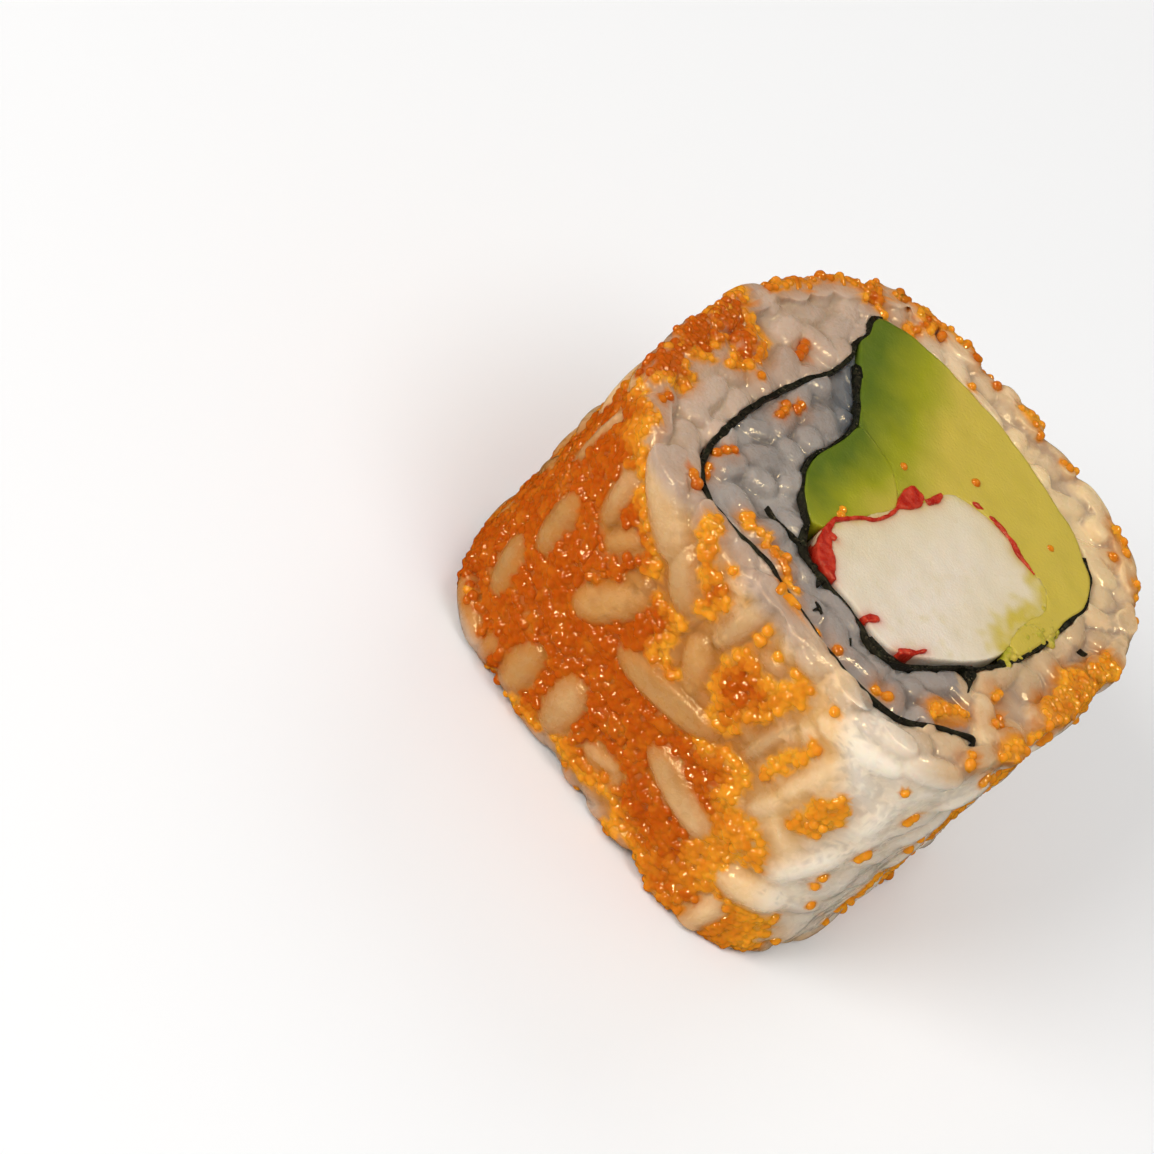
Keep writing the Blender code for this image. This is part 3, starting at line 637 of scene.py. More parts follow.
def crumb_finish():
    finish = Finish("Avocado crumbs", (0.3, (0.8, 1.0, 0.2), 0.5), Specular_IOR_Level=0.35)
    finish.relief(finish.clouds(0.3, 4), 0.1)
    colour = finish.blend(finish.spread(finish.clouds(0.9, 3), 0.4, 0.65), AVOCADO_YELLOW, AVOCADO_OLIVE)
    return finish.done(colour, finish.spread(finish.clouds(0.5), 0.4, 0.6, 0.25, 0.5))


def crab_finish():
    finish = Finish("Crab stick", (0.4, (1.0, 0.7, 0.5), 0.7), Specular_IOR_Level=0.3)
    mottled = finish.blend(finish.spread(finish.clouds(3, 3), 0.4, 0.75, 0, 0.6), CRAB_WHITE, CRAB_SHADE)
    flecked = finish.blend(finish.spread(finish.clouds(0.8, 2), 0.66, 0.74, 0, 0.35), mottled, CRAB_SHADE)
    blushed = finish.blend(finish.share("blush"), flecked, CRAB_RED)
    smeared = finish.blend(finish.share("smear"), blushed, AVOCADO_YELLOW)
    fibres = finish.clouds(1.0, 4, stretch=(1.8, 0.4, 1))
    finish.relief(finish.combine("ADD", fibres, finish.clouds(0.2, 2)), 0.07, 0.6)
    return finish.done(smeared, finish.spread(finish.clouds(1.5), 0.35, 0.65, 0.4, 0.6))


def crab_skin_finish():
    finish = Finish("Crab stick skin", (0.3, (1.0, 0.2, 0.1), 0.3),
                    Specular_IOR_Level=0.35, Coat_Weight=0.3, Coat_Roughness=0.1)
    finish.relief(finish.clouds(0.3, 4), 0.05)
    colour = finish.blend(finish.spread(finish.clouds(0.9, 3), 0.4, 0.62), CRAB_DEEP_RED, CRAB_RED)
    return finish.done(colour, finish.spread(finish.clouds(0.5), 0.4, 0.6, 0.2, 0.4))


def floor_finish():
    finish = Finish("Pale floor")
    return finish.done(finish.blend(finish.clouds(400, 2), FLOOR_WHITE, FLOOR_SHADE), 0.9)


# ---- numbers and points ------------------------------------------------------------------------
def rise(values, start, reach):
    """0 up to a start, growing to 1 over a reach, and held there."""
    return np.clip((values - start) / reach, 0, 1)


def tree_of(points):
    """A search tree that finds the nearest of some points by its number."""
    tree = KDTree(len(points))
    for index, point in enumerate(points):
        tree.insert(point, index)
    tree.balance()
    return tree


def direction(azimuth, elevation):
    """The way out from the piece at two angles in degrees; azimuth 0 is its front."""
    around = math.radians(azimuth)
    above = math.radians(elevation)
    return Vector((math.sin(around) * math.cos(above), -math.cos(around) * math.cos(above), math.sin(above)))


# ---- plan geometry -----------------------------------------------------------------------------
def smooth_path(points, closed):
    """A Catmull-Rom curve through readings, still in millimetres."""
    count = len(points)
    path = []
    for span in range(count if closed else count - 1):
        near = [span + k for k in (-1, 0, 1, 2)]
        near = [k % count for k in near] if closed else [min(max(k, 0), count - 1) for k in near]
        before, start, end, after = (Vector(points[k]) for k in near)
        for step in range(STEPS_PER_SPAN):
            t = step / STEPS_PER_SPAN
            path.append(0.5 * (
                2 * start + (end - before) * t
                + (2 * before - 5 * start + 4 * end - after) * t ** 2
                + (3 * start - before - 3 * end + after) * t ** 3))
    if not closed:
        path.append(Vector(points[-1]))
    return path


def left_of(path, index):
    """The plan direction to the left of a path at one of its points."""
    along = path[min(index + 1, len(path) - 1)].xy - path[max(index - 1, 0)].xy
    return Vector((-along.y, along.x)).normalized()


def crinkled(path):
    """A path with the small irregular waves of a damp sheet."""
    wavy = []
    for index, point in enumerate(path):
        wave = noise.noise(Vector((point.x, point.y, 0)) / CRINKLE_LENGTH)
        place = point.xy + left_of(path, index) * wave * SHEET_CRINKLE
        uneven = 1 + 0.5 * noise.noise(Vector((point.x, point.y, 9)) / 0.9)
        wavy.append(Vector((*place, point.z * uneven)))
    return wavy


def inside(points, polygon):
    """Which of many plan points lie inside a polygon."""
    starts = np.array([tuple(corner)[:2] for corner in polygon], float)
    ends = np.roll(starts, -1, axis=0)
    result = np.zeros(len(points), bool)
    for (x0, y0), (x1, y1) in zip(starts, ends):
        spans = (y0 > points[:, 1]) != (y1 > points[:, 1])
        if y0 != y1:
            crossing = x0 + (points[:, 1] - y0) / (y1 - y0) * (x1 - x0)
            result ^= spans & (crossing > points[:, 0])
    return result


def edge_distance(points, polygon):
    starts = np.array([tuple(corner)[:2] for corner in polygon], float)
    ends = np.roll(starts, -1, axis=0)
    nearest = np.full(len(points), np.inf)
    for start, end in zip(starts, ends):
        along = end - start
        t = np.clip((points - start) @ along / max(along @ along, 1e-12), 0, 1)
        gap = points - start - t[:, None] * along
        nearest = np.minimum(nearest, np.hypot(*gap.T))
    return nearest


def field_depth(points, fields):
    """How far inside the nearest field each reading lies, below 0 outside them all."""
    depth = np.full(len(points), -np.inf)
    for field in fields:
        sign = np.where(inside(points, field), 1, -1)
        depth = np.maximum(depth, sign * edge_distance(points, field))
    return depth


def rows_of_spots(spots):
    """Readings of the single beads that lie in a row along each spot."""
    readings = []
    for x, y, half_length, lean in spots:
        count = max(1, round(2 * half_length / LONE_ROE_SPACING))
        turn = math.radians(lean)
        for bead in range(count):
            along = (bead - (count - 1) / 2) * LONE_ROE_SPACING
            stray = noise.noise_vector(Vector((x, y, bead))) * ROE_STRAY
            readings.append((x + along * math.cos(turn) + stray.x, y + along * math.sin(turn) + stray.y))
    return readings


class Outline:
    """The rolled side, walked by distance: clockwise from the sheet's end, seen from above."""

    def __init__(self, path):
        self.path = path
        self.steps = [(b - a).length for a, b in zip(path, path[1:] + path[:1])]
        self.length = sum(self.steps)

    def at(self, distance):
        """The plan point and the outward direction at a distance along the side."""
        distance %= self.length
        for index, step in enumerate(self.steps):
            if distance <= step:
                break
            distance -= step
        start = self.path[index]
        along = (self.path[(index + 1) % len(self.path)] - start).normalized()
        return start + along * distance, Vector((-along.y, along.x, 0))


def grown(path, distance):
    """A closed clockwise path moved outwards."""
    moved = []
    for index, point in enumerate(path):
        along = path[(index + 1) % len(path)] - path[index - 1]
        moved.append(point + Vector((-along.y, along.x)).normalized() * distance)
    return moved


# ---- shapes ------------------------------------------------------------------------------------
def raise_faces(bm, faces, height):
    upper = bmesh.ops.extrude_face_region(bm, geom=faces)["geom"]
    corners = [item for item in upper if isinstance(item, bmesh.types.BMVert)]
    bmesh.ops.translate(bm, vec=(0, 0, height), verts=corners)
    bmesh.ops.recalc_face_normals(bm, faces=bm.faces)


def slab(path, bottom, top):
    bm = bmesh.new()
    ring = [bm.verts.new((point.x * MM, point.y * MM, bottom * MM)) for point in path]
    raise_faces(bm, [bm.faces.new(ring)], (top - bottom) * MM)
    return bm


def strip(bm, path, bottom, top, breadth=None):
    """An upright strip along an open path, as broad as the path's third number says."""
    rows = []
    for index, point in enumerate(path):
        side = left_of(path, index) * (breadth or point.z) / 2
        rows.append([bm.verts.new((*((point.xy + turn * side) * MM), bottom * MM)) for turn in (1, -1)])
    faces = [bm.faces.new((a[0], a[1], b[1], b[0])) for a, b in zip(rows, rows[1:])]
    raise_faces(bm, faces, (top - bottom) * MM)


def thing_from(name, bm):
    mesh = bpy.data.meshes.new(name)
    bm.to_mesh(mesh)
    bm.free()
    thing = bpy.data.objects.new(name, mesh)
    bpy.context.scene.collection.objects.link(thing)
    return thing


def modify(thing, kind, **settings):
    modifier = thing.modifiers.new(kind.title(), kind)
    for name, value in settings.items():
        setattr(modifier, name, value)
    return modifier


def settle(thing):
    """Turn a thing's modifiers into its own mesh."""
    bpy.context.view_layer.update()
    evaluated = thing.evaluated_get(bpy.context.evaluated_depsgraph_get())
    shaped = bpy.data.meshes.new_from_object(evaluated)
    thing.modifiers.clear()
    thing.data = shaped
    return thing


def remove(*things):
    for thing in things:
        bpy.data.objects.remove(thing, do_unlink=True)


def subtract(thing, cutter):
    modify(thing, "BOOLEAN", operation="DIFFERENCE", solver="MANIFOLD", object=cutter)
    settle(thing)
    remove(cutter)


def melt(thing, voxel, rounds):
    """Fuse a thing's overlapping bodies into one soft skin."""
    modify(thing, "REMESH", mode="VOXEL", voxel_size=voxel * MM, use_smooth_shade=True)
    modify(thing, "SMOOTH", factor=0.5, iterations=rounds)
    settle(thing)


def read_points(thing):
    flat = np.empty(len(thing.data.vertices) * 3)
    thing.data.vertices.foreach_get("co", flat)
    return flat.reshape(-1, 3) / MM


def point_normals(thing):
    flat = np.empty(len(thing.data.vertices) * 3)
    thing.data.vertices.foreach_get("normal", flat)
    return flat.reshape(-1, 3)


def write_points(thing, points):
    thing.data.vertices.foreach_set("co", (points * MM).ravel())
    thing.data.update()


def swell(thing, grow, height, length):
    """Move a thing's points outwards, unevenly by a wave's height and length."""
    for vert, normal in [(vert, vert.normal.copy()) for vert in thing.data.vertices]:
        vert.co += normal * (grow + height * noise.noise(vert.co / (length * MM))) * MM


def cut_distance(points):
    return np.minimum(ROLL_HEIGHT - points[:, 2], points[:, 2])


def set_share(thing, name, values):
    layer = thing.data.attributes.new(name, "FLOAT", "POINT")
    layer.data.foreach_set("value", np.clip(values, 0, 1).astype(np.float32))


def thin_out(thing, faces):
    """Merge a thing's flatter faces until about this many triangles are left."""
    now = sum(len(face.vertices) - 2 for face in thing.data.polygons)
    modify(thing, "DECIMATE", ratio=min(1, faces / now))
    settle(thing).data.shade_smooth()


def place_matrix(centre, long_axis, out, size):
    """Takes a unit ball to an oval with its long axis and its outward side set."""
    side = out.cross(long_axis).normalized()
    turn = Matrix((long_axis, side, out)).transposed().to_4x4()
    return Matrix.Translation(centre) @ turn @ Matrix.Diagonal((*size, 1))


def flat_axis(turn):
    """A level direction at an angle in radians."""
    return Vector((math.cos(turn), math.sin(turn), 0))


def grain_shape(segments, rings):
    """A unit grain along X with blunt ends."""
    bm = bmesh.new()
    bmesh.ops.create_uvsphere(bm, u_segments=segments, v_segments=rings, radius=0.5)
    bmesh.ops.rotate(bm, verts=bm.verts, matrix=Matrix.Rotation(math.pi / 2, 3, "Y"))
    for vert in bm.verts:
        reach = min(abs(vert.co.x) * 2, 0.999)
        fuller = math.sqrt((1 - reach ** GRAIN_BLUNTNESS) / (1 - reach ** 2))
        vert.co.y *= fuller
        vert.co.z *= fuller
    bmesh.ops.triangulate(bm, faces=bm.faces)
    return bm


def bead_shape():
    bm = bmesh.new()
    segments, rings = ROE_FACETS
    bmesh.ops.create_uvsphere(bm, u_segments=segments, v_segments=rings, radius=1)
    bmesh.ops.triangulate(bm, faces=bm.faces)
    return bm


def joined_copies(name, shape, places):
    """One mesh that holds a small shape at every place."""
    points = np.array([(*vert.co, 1) for vert in shape.verts])
    faces = np.array([[vert.index for vert in face.verts] for face in shape.faces])
    shape.free()
    moved = np.einsum("nij,vj->nvi", np.array(places, float), points)[:, :, :3].reshape(-1, 3)
    offsets = (np.arange(len(places)) * len(points))[:, None, None]
    mesh = bpy.data.meshes.new(name)
    mesh.from_pydata((moved * MM).tolist(), [], (faces[None] + offsets).reshape(-1, 3).tolist())
    mesh.shade_smooth()
    thing = bpy.data.objects.new(name, mesh)
    bpy.context.scene.collection.objects.link(thing)
    return thing


def join(things, name):
    bm = bmesh.new()
    for thing in things:
        bm.from_mesh(thing.data)
    remove(*things)
    return thing_from(name, bm)


# ---- where the photograph shows things ---------------------------------------------------------
def camera_axes():
    """The picture's right and up and the way back to the camera, as world directions."""
    back = direction(VIEW_AZIMUTH, VIEW_ELEVATION)
    level = flat_axis(math.radians(VIEW_AZIMUTH))
    turn = Quaternion(back, math.radians(VIEW_ROLL))
    return turn @ level, turn @ back.cross(level), back


EYE = Vector((0, 0, ROLL_HEIGHT)) + camera_axes()[2] * VIEW_DISTANCE


def front_readings(points):
    """Where points show on the front plane, as (x, z)."""
    eye = np.array(EYE)
    rays = np.asarray(points) - eye
    seen = eye + rays * ((FRONT_PLANE - eye[1]) / rays[:, 1])[:, None]
    return seen[:, [0, 2]]


def faces_camera(spot, out, least):
    sight = EYE - spot
    return out.dot(sight) > least * sight.length


# ---- rice --------------------------------------------------------------------------------------
def rice_core(outline):
    low = CUT_LEVEL + CUT_RECESS
    bm = slab(outline.path, low, ROLL_HEIGHT - low)
    rims = [edge for edge in bm.edges if edge.calc_face_angle(0) > math.radians(RIM_ANGLE)]
    bmesh.ops.bevel(bm, geom=rims, offset=RIM_RADIUS * MM, offset_type="OFFSET", segments=RIM_SEGMENTS,
                    profile=0.5, affect="EDGES", material=-1)
    return thing_from("rice", bm)


def front_grain_places(core):
    """The grains that the photograph shows whole, bedded where their sight lines meet the side."""
    tree = BVHTree.FromObject(core, bpy.context.evaluated_depsgraph_get())
    places = []
    for x, z, length, width, lean, proud in FRONT_GRAINS:
        sight = (Vector((x, FRONT_PLANE, z)) - EYE).normalized()
        spot, out, _, _ = tree.ray_cast(EYE * MM, sight)
        if spot is None:
            continue
        level = Vector((0, 0, 1)).cross(out).normalized()
        turn = math.radians(lean)
        long_axis = level * math.cos(turn) + out.cross(level) * math.sin(turn)
        centre = spot / MM + out * (proud - GRAIN_HEIGHT / 2)
        places.append(place_matrix(centre, long_axis, out, (length, width, GRAIN_HEIGHT)))
    return places


def scatter_side(rng, outline, taken, spacing, tries, proud, allowed):
    """Grains laid at random on the side, no closer than a spacing to each other."""
    places = []
    spots = [place.translation.copy() for place in taken]
    for _ in range(tries):
        point, out = outline.at(rng.random() * outline.length)
        spot = Vector((*point, rng.uniform(SIDE_MARGIN, ROLL_HEIGHT - SIDE_MARGIN)))
        if not allowed(spot, out) or any((spot - other).length < spacing for other in spots):
            continue
        turn = rng.uniform(0, math.pi)
        long_axis = Vector((-out.y, out.x, 0)) * math.cos(turn) + Vector((0, 0, math.sin(turn)))
        length = GRAIN_LENGTH * rng.uniform(*LENGTH_VARIES)
        size = (length, GRAIN_WIDTH * rng.uniform(*WIDTH_VARIES), GRAIN_HEIGHT)
        centre = spot + out * (rng.uniform(*proud) - GRAIN_HEIGHT / 2)
        places.append(place_matrix(centre, long_axis, out, size))
        spots.append(centre)
    return places


def cut_grain_places(rng, outline, filling, facing):
    """Grains that the knife went through, and the level of each one's cut."""
    level = ROLL_HEIGHT - CUT_LEVEL if facing > 0 else CUT_LEVEL
    spots = [(Vector(grain[:2]), *grain[2:]) for grain in CUT_GRAINS]
    candidates = np.array([
        (rng.uniform(-CUT_REACH, CUT_REACH), rng.uniform(-CUT_REACH, CUT_REACH)) for _ in range(CUT_TRIES)])
    margin = edge_distance(candidates, outline.path)
    usable = inside(candidates, outline.path) & (margin > CUT_MARGIN) & ~inside(candidates, filling)
    for candidate, room in zip(candidates[usable], margin[usable]):
        spot = Vector(candidate)
        if any((spot - other[0]).length < CUT_SPACING for other in spots):
            continue
        length = min(rng.uniform(*CUT_LENGTHS), 2 * room)
        spots.append((spot, length, rng.uniform(*CUT_WIDTHS), rng.uniform(0, 180)))
    places = []
    tops = []
    for spot, length, width, lean in spots:
        top = level - facing * rng.uniform(*CUT_SUNK)
        centre = Vector((*spot, top - facing * rng.uniform(*CUT_BEDDED)))
        long_axis = flat_axis(math.radians(lean))
        places.append(place_matrix(centre, long_axis, Vector((0, 0, 1)), (length, width, GRAIN_HEIGHT)))
        tops.append(top)
    return places, tops


def press_to_cut(grains, tops, facing):
    """Press what stands past each grain's cut back to a shallow dome."""
    points = read_points(grains).reshape(len(tops), -1, 3)
    levels = np.array(tops)[:, None]
    past = (points[:, :, 2] - levels) * facing
    points[:, :, 2] = np.where(past > 0, levels + facing * past * CUT_DOME, points[:, :, 2])
    write_points(grains, points.reshape(-1, 3))


def round_rims(rice, outline):
    """Hold the rice inside both cuts, lower towards the side so that the rims are round."""
    points = read_points(rice)
    depth = edge_distance(points[:, :2], outline.path)
    depth = np.where(inside(points[:, :2], outline.path), depth, -depth)
    lowered = rise(-depth, *RIM_FALLS) ** 2 * RIM_FALL
    top = ROLL_HEIGHT - CUT_LEVEL - lowered
    points[:, 2] = np.clip(points[:, 2], ROLL_HEIGHT - top, top)
    write_points(rice, points)


def sink_wedge(rice, start, inner_loop):
    """Slope the rice down to the sheet's start, where the sheet's face shows, and paint that slope dark grey
    as shade.
    """
    points = read_points(rice)
    gap = edge_distance(points[:, :2], start)
    share = np.clip(1 - gap / WEDGE_REACH, 0, 1) * inside(points[:, :2], inner_loop)
    near_top = points[:, 2] > ROLL_HEIGHT - WEDGE_FOOT
    points[:, 2] -= np.where(near_top, share * WEDGE_DEPTH, 0)
    write_points(rice, points)
    power, most = WEDGE_FADE
    set_share(rice, "wedge_shade", share ** power * most)


def relaxed(thing, rounds):
    """A thing's points after each has moved to the middle of its neighbours this many times."""
    ends = np.empty(len(thing.data.edges) * 2, int)
    thing.data.edges.foreach_get("vertices", ends)
    here, there = np.concatenate((ends.reshape(-1, 2), ends.reshape(-1, 2)[:, ::-1])).T
    smooth = read_points(thing)
    neighbours = np.bincount(here, minlength=len(smooth))
    for _ in range(rounds):
        smooth = np.stack([
            np.bincount(here, smooth[there, axis], len(smooth)) / neighbours for axis in range(3)], axis=1)
    return smooth


def calm_relief(rice):
    """Flatten the relief on the cuts and where the side is bare, as a wet knife and wet hands do."""
    points = read_points(rice)
    to_cut = cut_distance(points)
    bare = rise(front_readings(points)[:, 0], *PRESSED_FROM)
    at_front = rise(-points[:, 1], *PRESSED_BEFORE)
    on_side = CALM_SIDE * bare * at_front * rise(to_cut, *SIDE_CALM_FROM)
    on_cuts = CALM_CUT * (1 - rise(to_cut, *CUT_CALM_FADES))
    calm = np.maximum(on_side, on_cuts)
    write_points(rice, points + (relaxed(rice, CALM_ROUNDS) - points) * calm[:, None])


def set_hollow_shade(thing):
    """Share of each point in a hollow: 1 in a crevice, 0.5 where it is flat, 0 on a rise. The rice's colours
    use it to paint shade into the hollows and lighten the rises.
    """
    sunk = ((relaxed(thing, HOLLOW_ROUNDS) - read_points(thing)) * point_normals(thing)).sum(axis=1)
    set_share(thing, "hollow", 0.5 + sunk / HOLLOW_DEPTH / 2)


def tone_grains(rice, grains):
    """Each grain has its own share of clearness, from milky to glassy."""
    rng = random.Random(GRAIN_SEED)
    clear = np.repeat([rng.random() for _ in grains], [len(points) for points in grains])
    tree = tree_of(np.concatenate(grains))
    set_share(rice, "clear", clear[[tree.find(point)[1] for point in read_points(rice)]])


def lapped(sheet):
    """The slot for the sheet: grains lap over its edge, and it gapes between their ends."""
    walked = 0
    slot = []
    for before, point in zip(sheet[:1] + sheet, sheet):
        walked += (point.xy - before.xy).length
        lap = 1 + LAPPED * noise.noise(point / LAP_LENGTH)
        wander, length = NOTCH_WANDER
        turn = (walked / NOTCH_SPACING + wander * noise.noise(point / length)) % 1
        full = min(1, max(NOTCH_LEAST, (point.x - NOTCH_FULL[0]) / NOTCH_FULL[1]))
        notch = max(0, 1 - abs(turn - 0.5) / NOTCH_SHARE) * full
        slot.append(Vector((*point.xy, point.z * lap + notch * NOTCH_BREADTH)))
    return slot


def lay_side_grains(rng, outline, core):
    """Grains that show whole, and the bed that they lie on."""
    front = front_grain_places(core)

    def out_of_sight(spot, out):
        return not faces_camera(spot, out, IN_SIGHT) or front_readings([spot])[0][0] > IN_SIGHT_TO

    whole = scatter_side(rng, outline, front, WHOLE_SPACING, WHOLE_TRIES, WHOLE_PROUD, out_of_sight)
    bed = scatter_side(rng, outline, [], BED_SPACING, BED_TRIES, BED_PROUD, lambda spot, out: True)
    return front + whole, bed


def let_in_filling(rice, sheet, filling):
    """Cut the filling's hole, the sheet's slot and the hollow of its fold out of the rice."""
    bottom = -PAST_CUT
    top = ROLL_HEIGHT + PAST_CUT
    subtract(rice, thing_from("filling_hole", slab(filling, bottom, top)))
    middle = TIP * STEPS_PER_SPAN
    for part in (sheet[:middle + STEPS_PER_SPAN], sheet[middle - STEPS_PER_SPAN:]):
        slot = bmesh.new()
        strip(slot, lapped(part), bottom, top)
        subtract(rice, thing_from("slot", slot))
    fold = bmesh.new()
    strip(fold, smooth_path(SHEET_SCRAPS[0], closed=False), ROLL_HEIGHT - FOLD_DEPTH, top)
    subtract(rice, thing_from("fold", fold))


def make_rice(outline, sheet, filling, inner_loop):
    rng = random.Random(GRAIN_SEED)
    core = rice_core(outline)
    whole, bed = lay_side_grains(rng, outline, core)
    on_side = whole + bed
    parts = [core, joined_copies("side_grains", grain_shape(*GRAIN_FACETS), on_side)]
    grains = list(read_points(parts[1]).reshape(len(on_side), -1, 3))
    for facing in (1, -1):
        places, tops = cut_grain_places(rng, outline, filling, facing)
        cut_grains = joined_copies("cut_grains", grain_shape(*GRAIN_FACETS), places)
        press_to_cut(cut_grains, tops, facing)
        grains += list(read_points(cut_grains).reshape(len(places), -1, 3))
        parts.append(cut_grains)
    rice = join(parts, "rice_grains")
    melt(rice, VOXEL, 1)
    round_rims(rice, outline)
    calm_relief(rice)
    let_in_filling(rice, sheet, filling)
    thin_out(rice, RICE_FACES)
    set_hollow_shade(rice)
    tone_grains(rice, grains)
    sink_wedge(rice, sheet[:2 * STEPS_PER_SPAN], inner_loop)
    return rice, whole


def bareness(readings):
    """How far the rice is white and free of roe's tint: to the right and near the upper cut."""
    x, z = readings.T
    right = rise(x, *BARE_RIGHT) * rise(z, *BARE_RIGHT_UP)
    low = BARE_LOW_SHARE * rise(-z, *BARE_LOW) * rise(x, *BARE_LOW_RIGHT)
    high = BARE_HIGH_SHARE * rise(z, *BARE_HIGH)
    return right + low + high


def tint_rice(rice, beads, inner_loop):
    """Vertex shares for the rice's finish: stained and soaked by roe, and cut, inner and bare rice."""
    tree = tree_of([bead[0] / MM for bead in beads])
    points = read_points(rice)
    found = [(*tree.find(point)[1:], len(tree.find_range(point, STAIN_COUNT_REACH))) for point in points]
    index, gap, count = np.array(found).T
    soaked = rise(-gap, -SOAKED_REACH, SOAKED_EDGE)
    rim = rise(-points[:, 1], *RIM_WHITE_BEFORE) * rise(points[:, 0], *RIM_WHITE_FROM)
    cut = (1 - rise(cut_distance(points), *CUT_FADES)) * (1 - RIM_WHITE * rim)
    bare = np.clip(bareness(front_readings(points)), 0, 1)
    stain = np.clip(1 - gap / STAIN_REACH, 0, 1) ** STAIN_FADES
    stain *= np.clip(LONE_STAIN + count / STAIN_COUNT, 0, 1)
    stain *= np.where(points[:, 0] < STAIN_RIGHT_FROM, 1 - STAIN_LESS_LEFT * cut, 1 + STAIN_MORE_RIGHT * cut)
    stain *= 1 - STAIN_LESS_BARE * bare * (1 - cut)
    set_share(rice, "stain", stain)
    set_share(rice, "soaked", soaked)
    set_share(rice, "ripe", np.array([bead[2] for bead in beads])[index.astype(int)])
    set_share(rice, "cut", cut)
    set_share(rice, "inner", inside(points[:, :2], inner_loop))
    set_share(rice, "bare", bare)
    jelly = soaked * rise(count, *JELLY_COUNT) * ROE_JELLY
    write_points(rice, np.clip(points + point_normals(rice) * jelly[:, None], *BOX_CORNERS))


# ---- roe ---------------------------------------------------------------------------------------
def under_grain(spots, grains):
    """Which spots lie on a grain that shows whole."""
    turned = np.array([np.array(place.inverted()) for place in grains])
    points = np.concatenate([spots, np.ones((len(spots), 1))], axis=1)
    local = np.einsum("nij,vj->nvi", turned, points)
    reach = np.abs(local[:, :, 0] * 2) ** GRAIN_BLUNTNESS + (local[:, :, 1] * 2) ** 2
    width, height = COVERS_ROE
    return ((reach < width) & (np.abs(local[:, :, 2]) < height)).any(axis=0)


def jitter(rng):
    return rng.uniform(-ROE_JITTER, ROE_JITTER)


def side_spots(rng, outline, tree):
    """Where rows of beads would lie on the side: spot, normal and outward direction."""
    spots = []
    for row in range(int(ROLL_HEIGHT / ROE_ROW_SPACING)):
        for column in range(int(outline.length / ROE_SPACING)):
            point, out = outline.at((column + 0.5 * (row % 2) + jitter(rng)) * ROE_SPACING)
            height = (row + 0.5 + jitter(rng)) * ROE_SPACING * ROE_ROW_PITCH
            spot, normal, _, _ = tree.ray_cast((Vector((*point, height)) + out * ROE_DROP) * MM, -out)
            if spot is not None:
                spots.append((spot, normal, out))
    return spots


def depth_out_of_sight(spot, out):
    """How deep roe lies on the side that the photograph doesn't show: full at the left, else in clouds."""
    facing, depth = LEFT_OUT_OF_SIGHT
    if out.x < facing:
        return depth
    most, length, added = ROE_CLOUDS
    return most * (noise.noise(spot / (length * MM)) + added)


def side_roe(rng, outline, tree, grains):
    """Beads on the side: by the photograph where it shows, and in clouds elsewhere."""
    spots = side_spots(rng, outline, tree)
    places = np.array([spot for spot, _, _ in spots]) / MM
    readings = front_readings(places)
    depth = field_depth(readings, FRONT_FIELDS)
    covered = under_grain(places, grains)
    ragged, length = ROE_RAGGED
    amber_from, amber_reach = AMBER_FROM
    beads = []
    for (spot, normal, out), reading, roe_depth, hidden in zip(spots, readings, depth, covered):
        if not faces_camera(spot / MM, out, ROE_IN_SIGHT):
            roe_depth = depth_out_of_sight(spot, out)
        if hidden or roe_depth < ragged * noise.noise(spot / (length * MM)):
            continue
        right = max(0, reading[0] - amber_from) / amber_reach
        amber = AMBER_PULL * min(1, bareness(reading[None])[0] + right)
        heaped = roe_depth / ROE_HEAP_DEPTH * (1 - amber)
        beads.append((spot, normal, heaped, ROE_RADIUS))
    for x, z in rows_of_spots(FRONT_SPOTS):
        spot, normal, _, _ = tree.ray_cast(EYE * MM, Vector((x, FRONT_PLANE, z)) - EYE)
        if spot is not None:
            beads.append((spot, normal, 0, LONE_ROE_RADIUS))
    return beads


def cut_roe(rng, tree, facing):
    """Beads on a cut: the lower cut has the same ones near its rim, turned about the X axis."""
    count = int(2 * ROE_GROUND / ROE_SPACING)
    readings = np.array([
        ((column + 0.5 * (row % 2) + jitter(rng)) * ROE_SPACING - ROE_GROUND,
         (row + jitter(rng)) * ROE_SPACING - ROE_GROUND)
        for row in range(count) for column in range(count)])
    depth = field_depth(readings, CUT_FIELDS)
    covered = depth > ROE_LEAST_DEPTH
    found = [(x, y, share / ROE_HEAP_DEPTH * (RIGHT_ROE_HEAPED if x > 0 else MIDDLE_ROE_HEAPED), ROE_RADIUS)
             for (x, y), share in zip(readings[covered], depth[covered])]
    found += [(x, y, LONE_ROE_HEAPED if x > LEFT_ROE_TO else LEFT_ROE_HEAPED, LONE_ROE_RADIUS)
              for x, y in rows_of_spots(CUT_SPOTS)]
    beads = []
    for x, y, heaped, radius in found:
        if facing < 0 and math.hypot(x, y) < LOWER_CUT_FREE:
            continue
        start = Vector((x, y * facing, ROLL_HEIGHT / 2 + facing * ROLL_HEIGHT))
        spot, normal, _, _ = tree.ray_cast(start * MM, Vector((0, 0, -facing)))
        if spot is not None and abs(spot.z / MM - ROLL_HEIGHT / 2) > ROLL_HEIGHT / 2 - CUT_ROE_DEPTH:
            beads.append((spot, normal, heaped, radius))
    return beads


